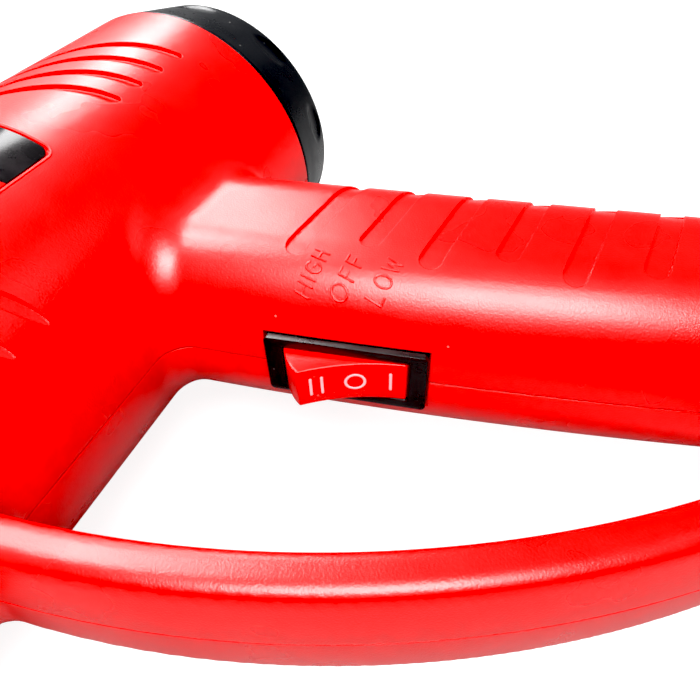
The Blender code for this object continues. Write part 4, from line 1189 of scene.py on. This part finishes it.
# %% Floor and lights
def add_floor():
    finish = Finish("floor_white", Roughness=0.8, Specular_IOR_Level=0.1, Emission_Strength=0.9)
    shade = finish.noise(0.12, 2.0).ramp(0.3, 0.7)
    tone = finish.mix(shade, (0.24, 0.24, 0.24), (0.26, 0.26, 0.26))
    # The sheet glows only for the eye, so that the gun's underside doesn't mirror a white sheet.
    seen = finish.node("LightPath", {}, {}, "Is Camera Ray")
    finish.use(Emission_Color=finish.mix(seen, (0, 0, 0), (1, 1, 1)))
    sheet = bmesh.new()
    bmesh.ops.create_grid(sheet, x_segments=2, y_segments=2, size=4)
    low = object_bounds()[0].z - 0.2 * MM
    bmesh.ops.translate(sheet, verts=sheet.verts, vec=(0, 0, low))
    data = bpy.data.meshes.new("floor")
    sheet.to_mesh(data)
    data.materials.append(finish.use(Base_Color=tone))
    floor = bpy.data.objects.new("floor", data)
    bpy.context.scene.collection.objects.link(floor)


def add_light(name, towards, distance, size, watts, aim=(0.08, 0.05, 0.0)):
    """A soft rectangle of light, seen from the gun in the direction towards."""
    data = bpy.data.lights.new(name, "AREA")
    data.shape = "RECTANGLE"
    data.size, data.size_y = size
    data.energy = watts
    light = bpy.data.objects.new(name, data)
    away = Vector(towards).normalized()
    light.location = Vector(aim) + away * distance
    light.rotation_euler = away.to_track_quat("Z", "Y").to_euler()
    light.visible_camera = False
    bpy.context.scene.collection.objects.link(light)


def add_surround(strength):
    world = bpy.data.worlds.new("surround")
    bpy.context.scene.world = world
    world.use_nodes = True
    nodes, links = world.node_tree.nodes, world.node_tree.links
    glow = nodes["Background"]
    glow.inputs["Strength"].default_value = strength
    backdrop = nodes.new("ShaderNodeBackground")
    either = nodes.new("ShaderNodeMixShader")
    links.new(nodes.new("ShaderNodeLightPath").outputs["Is Camera Ray"], either.inputs[0])
    links.new(glow.outputs[0], either.inputs[1])
    links.new(backdrop.outputs[0], either.inputs[2])
    links.new(either.outputs[0], nodes["World Output"].inputs["Surface"])
    for background in (glow, backdrop):
        background.inputs["Color"].default_value = (1, 1, 1, 1)


add_floor()
add_light("window_near", (-0.703, -0.466, 0.537), 0.9, (0.18, 0.19), 1.6)
add_light("window_high", (-0.578, -0.468, 0.669), 0.9, (0.22, 0.14), 1.7)
add_light("window_far", (-0.562, -0.72, 0.407), 0.9, (0.5, 0.35), 0.8)
add_light("skylight", (-0.2, -0.54, 0.82), 0.9, (0.4, 0.35), 9.0)
add_light("side_fill", (-0.38, 0.62, 0.682), 0.9, (0.3, 0.3), 0.38)
add_light("softbox", (0.366, 0.181, 0.913), 0.9, (0.5, 0.46), 17)
add_light("ceiling", (-0.25, -0.35, 0.9), 1.1, (1.2, 1.2), 1.2)
add_surround(0.28)
look = bpy.context.scene.view_settings
look.view_transform = "Standard"
look.use_curve_mapping = True
look.curve_mapping.black_level = (0.03, 0.03, 0.03)
look.curve_mapping.update()
print("lit with", len(bpy.data.lights), "lights")
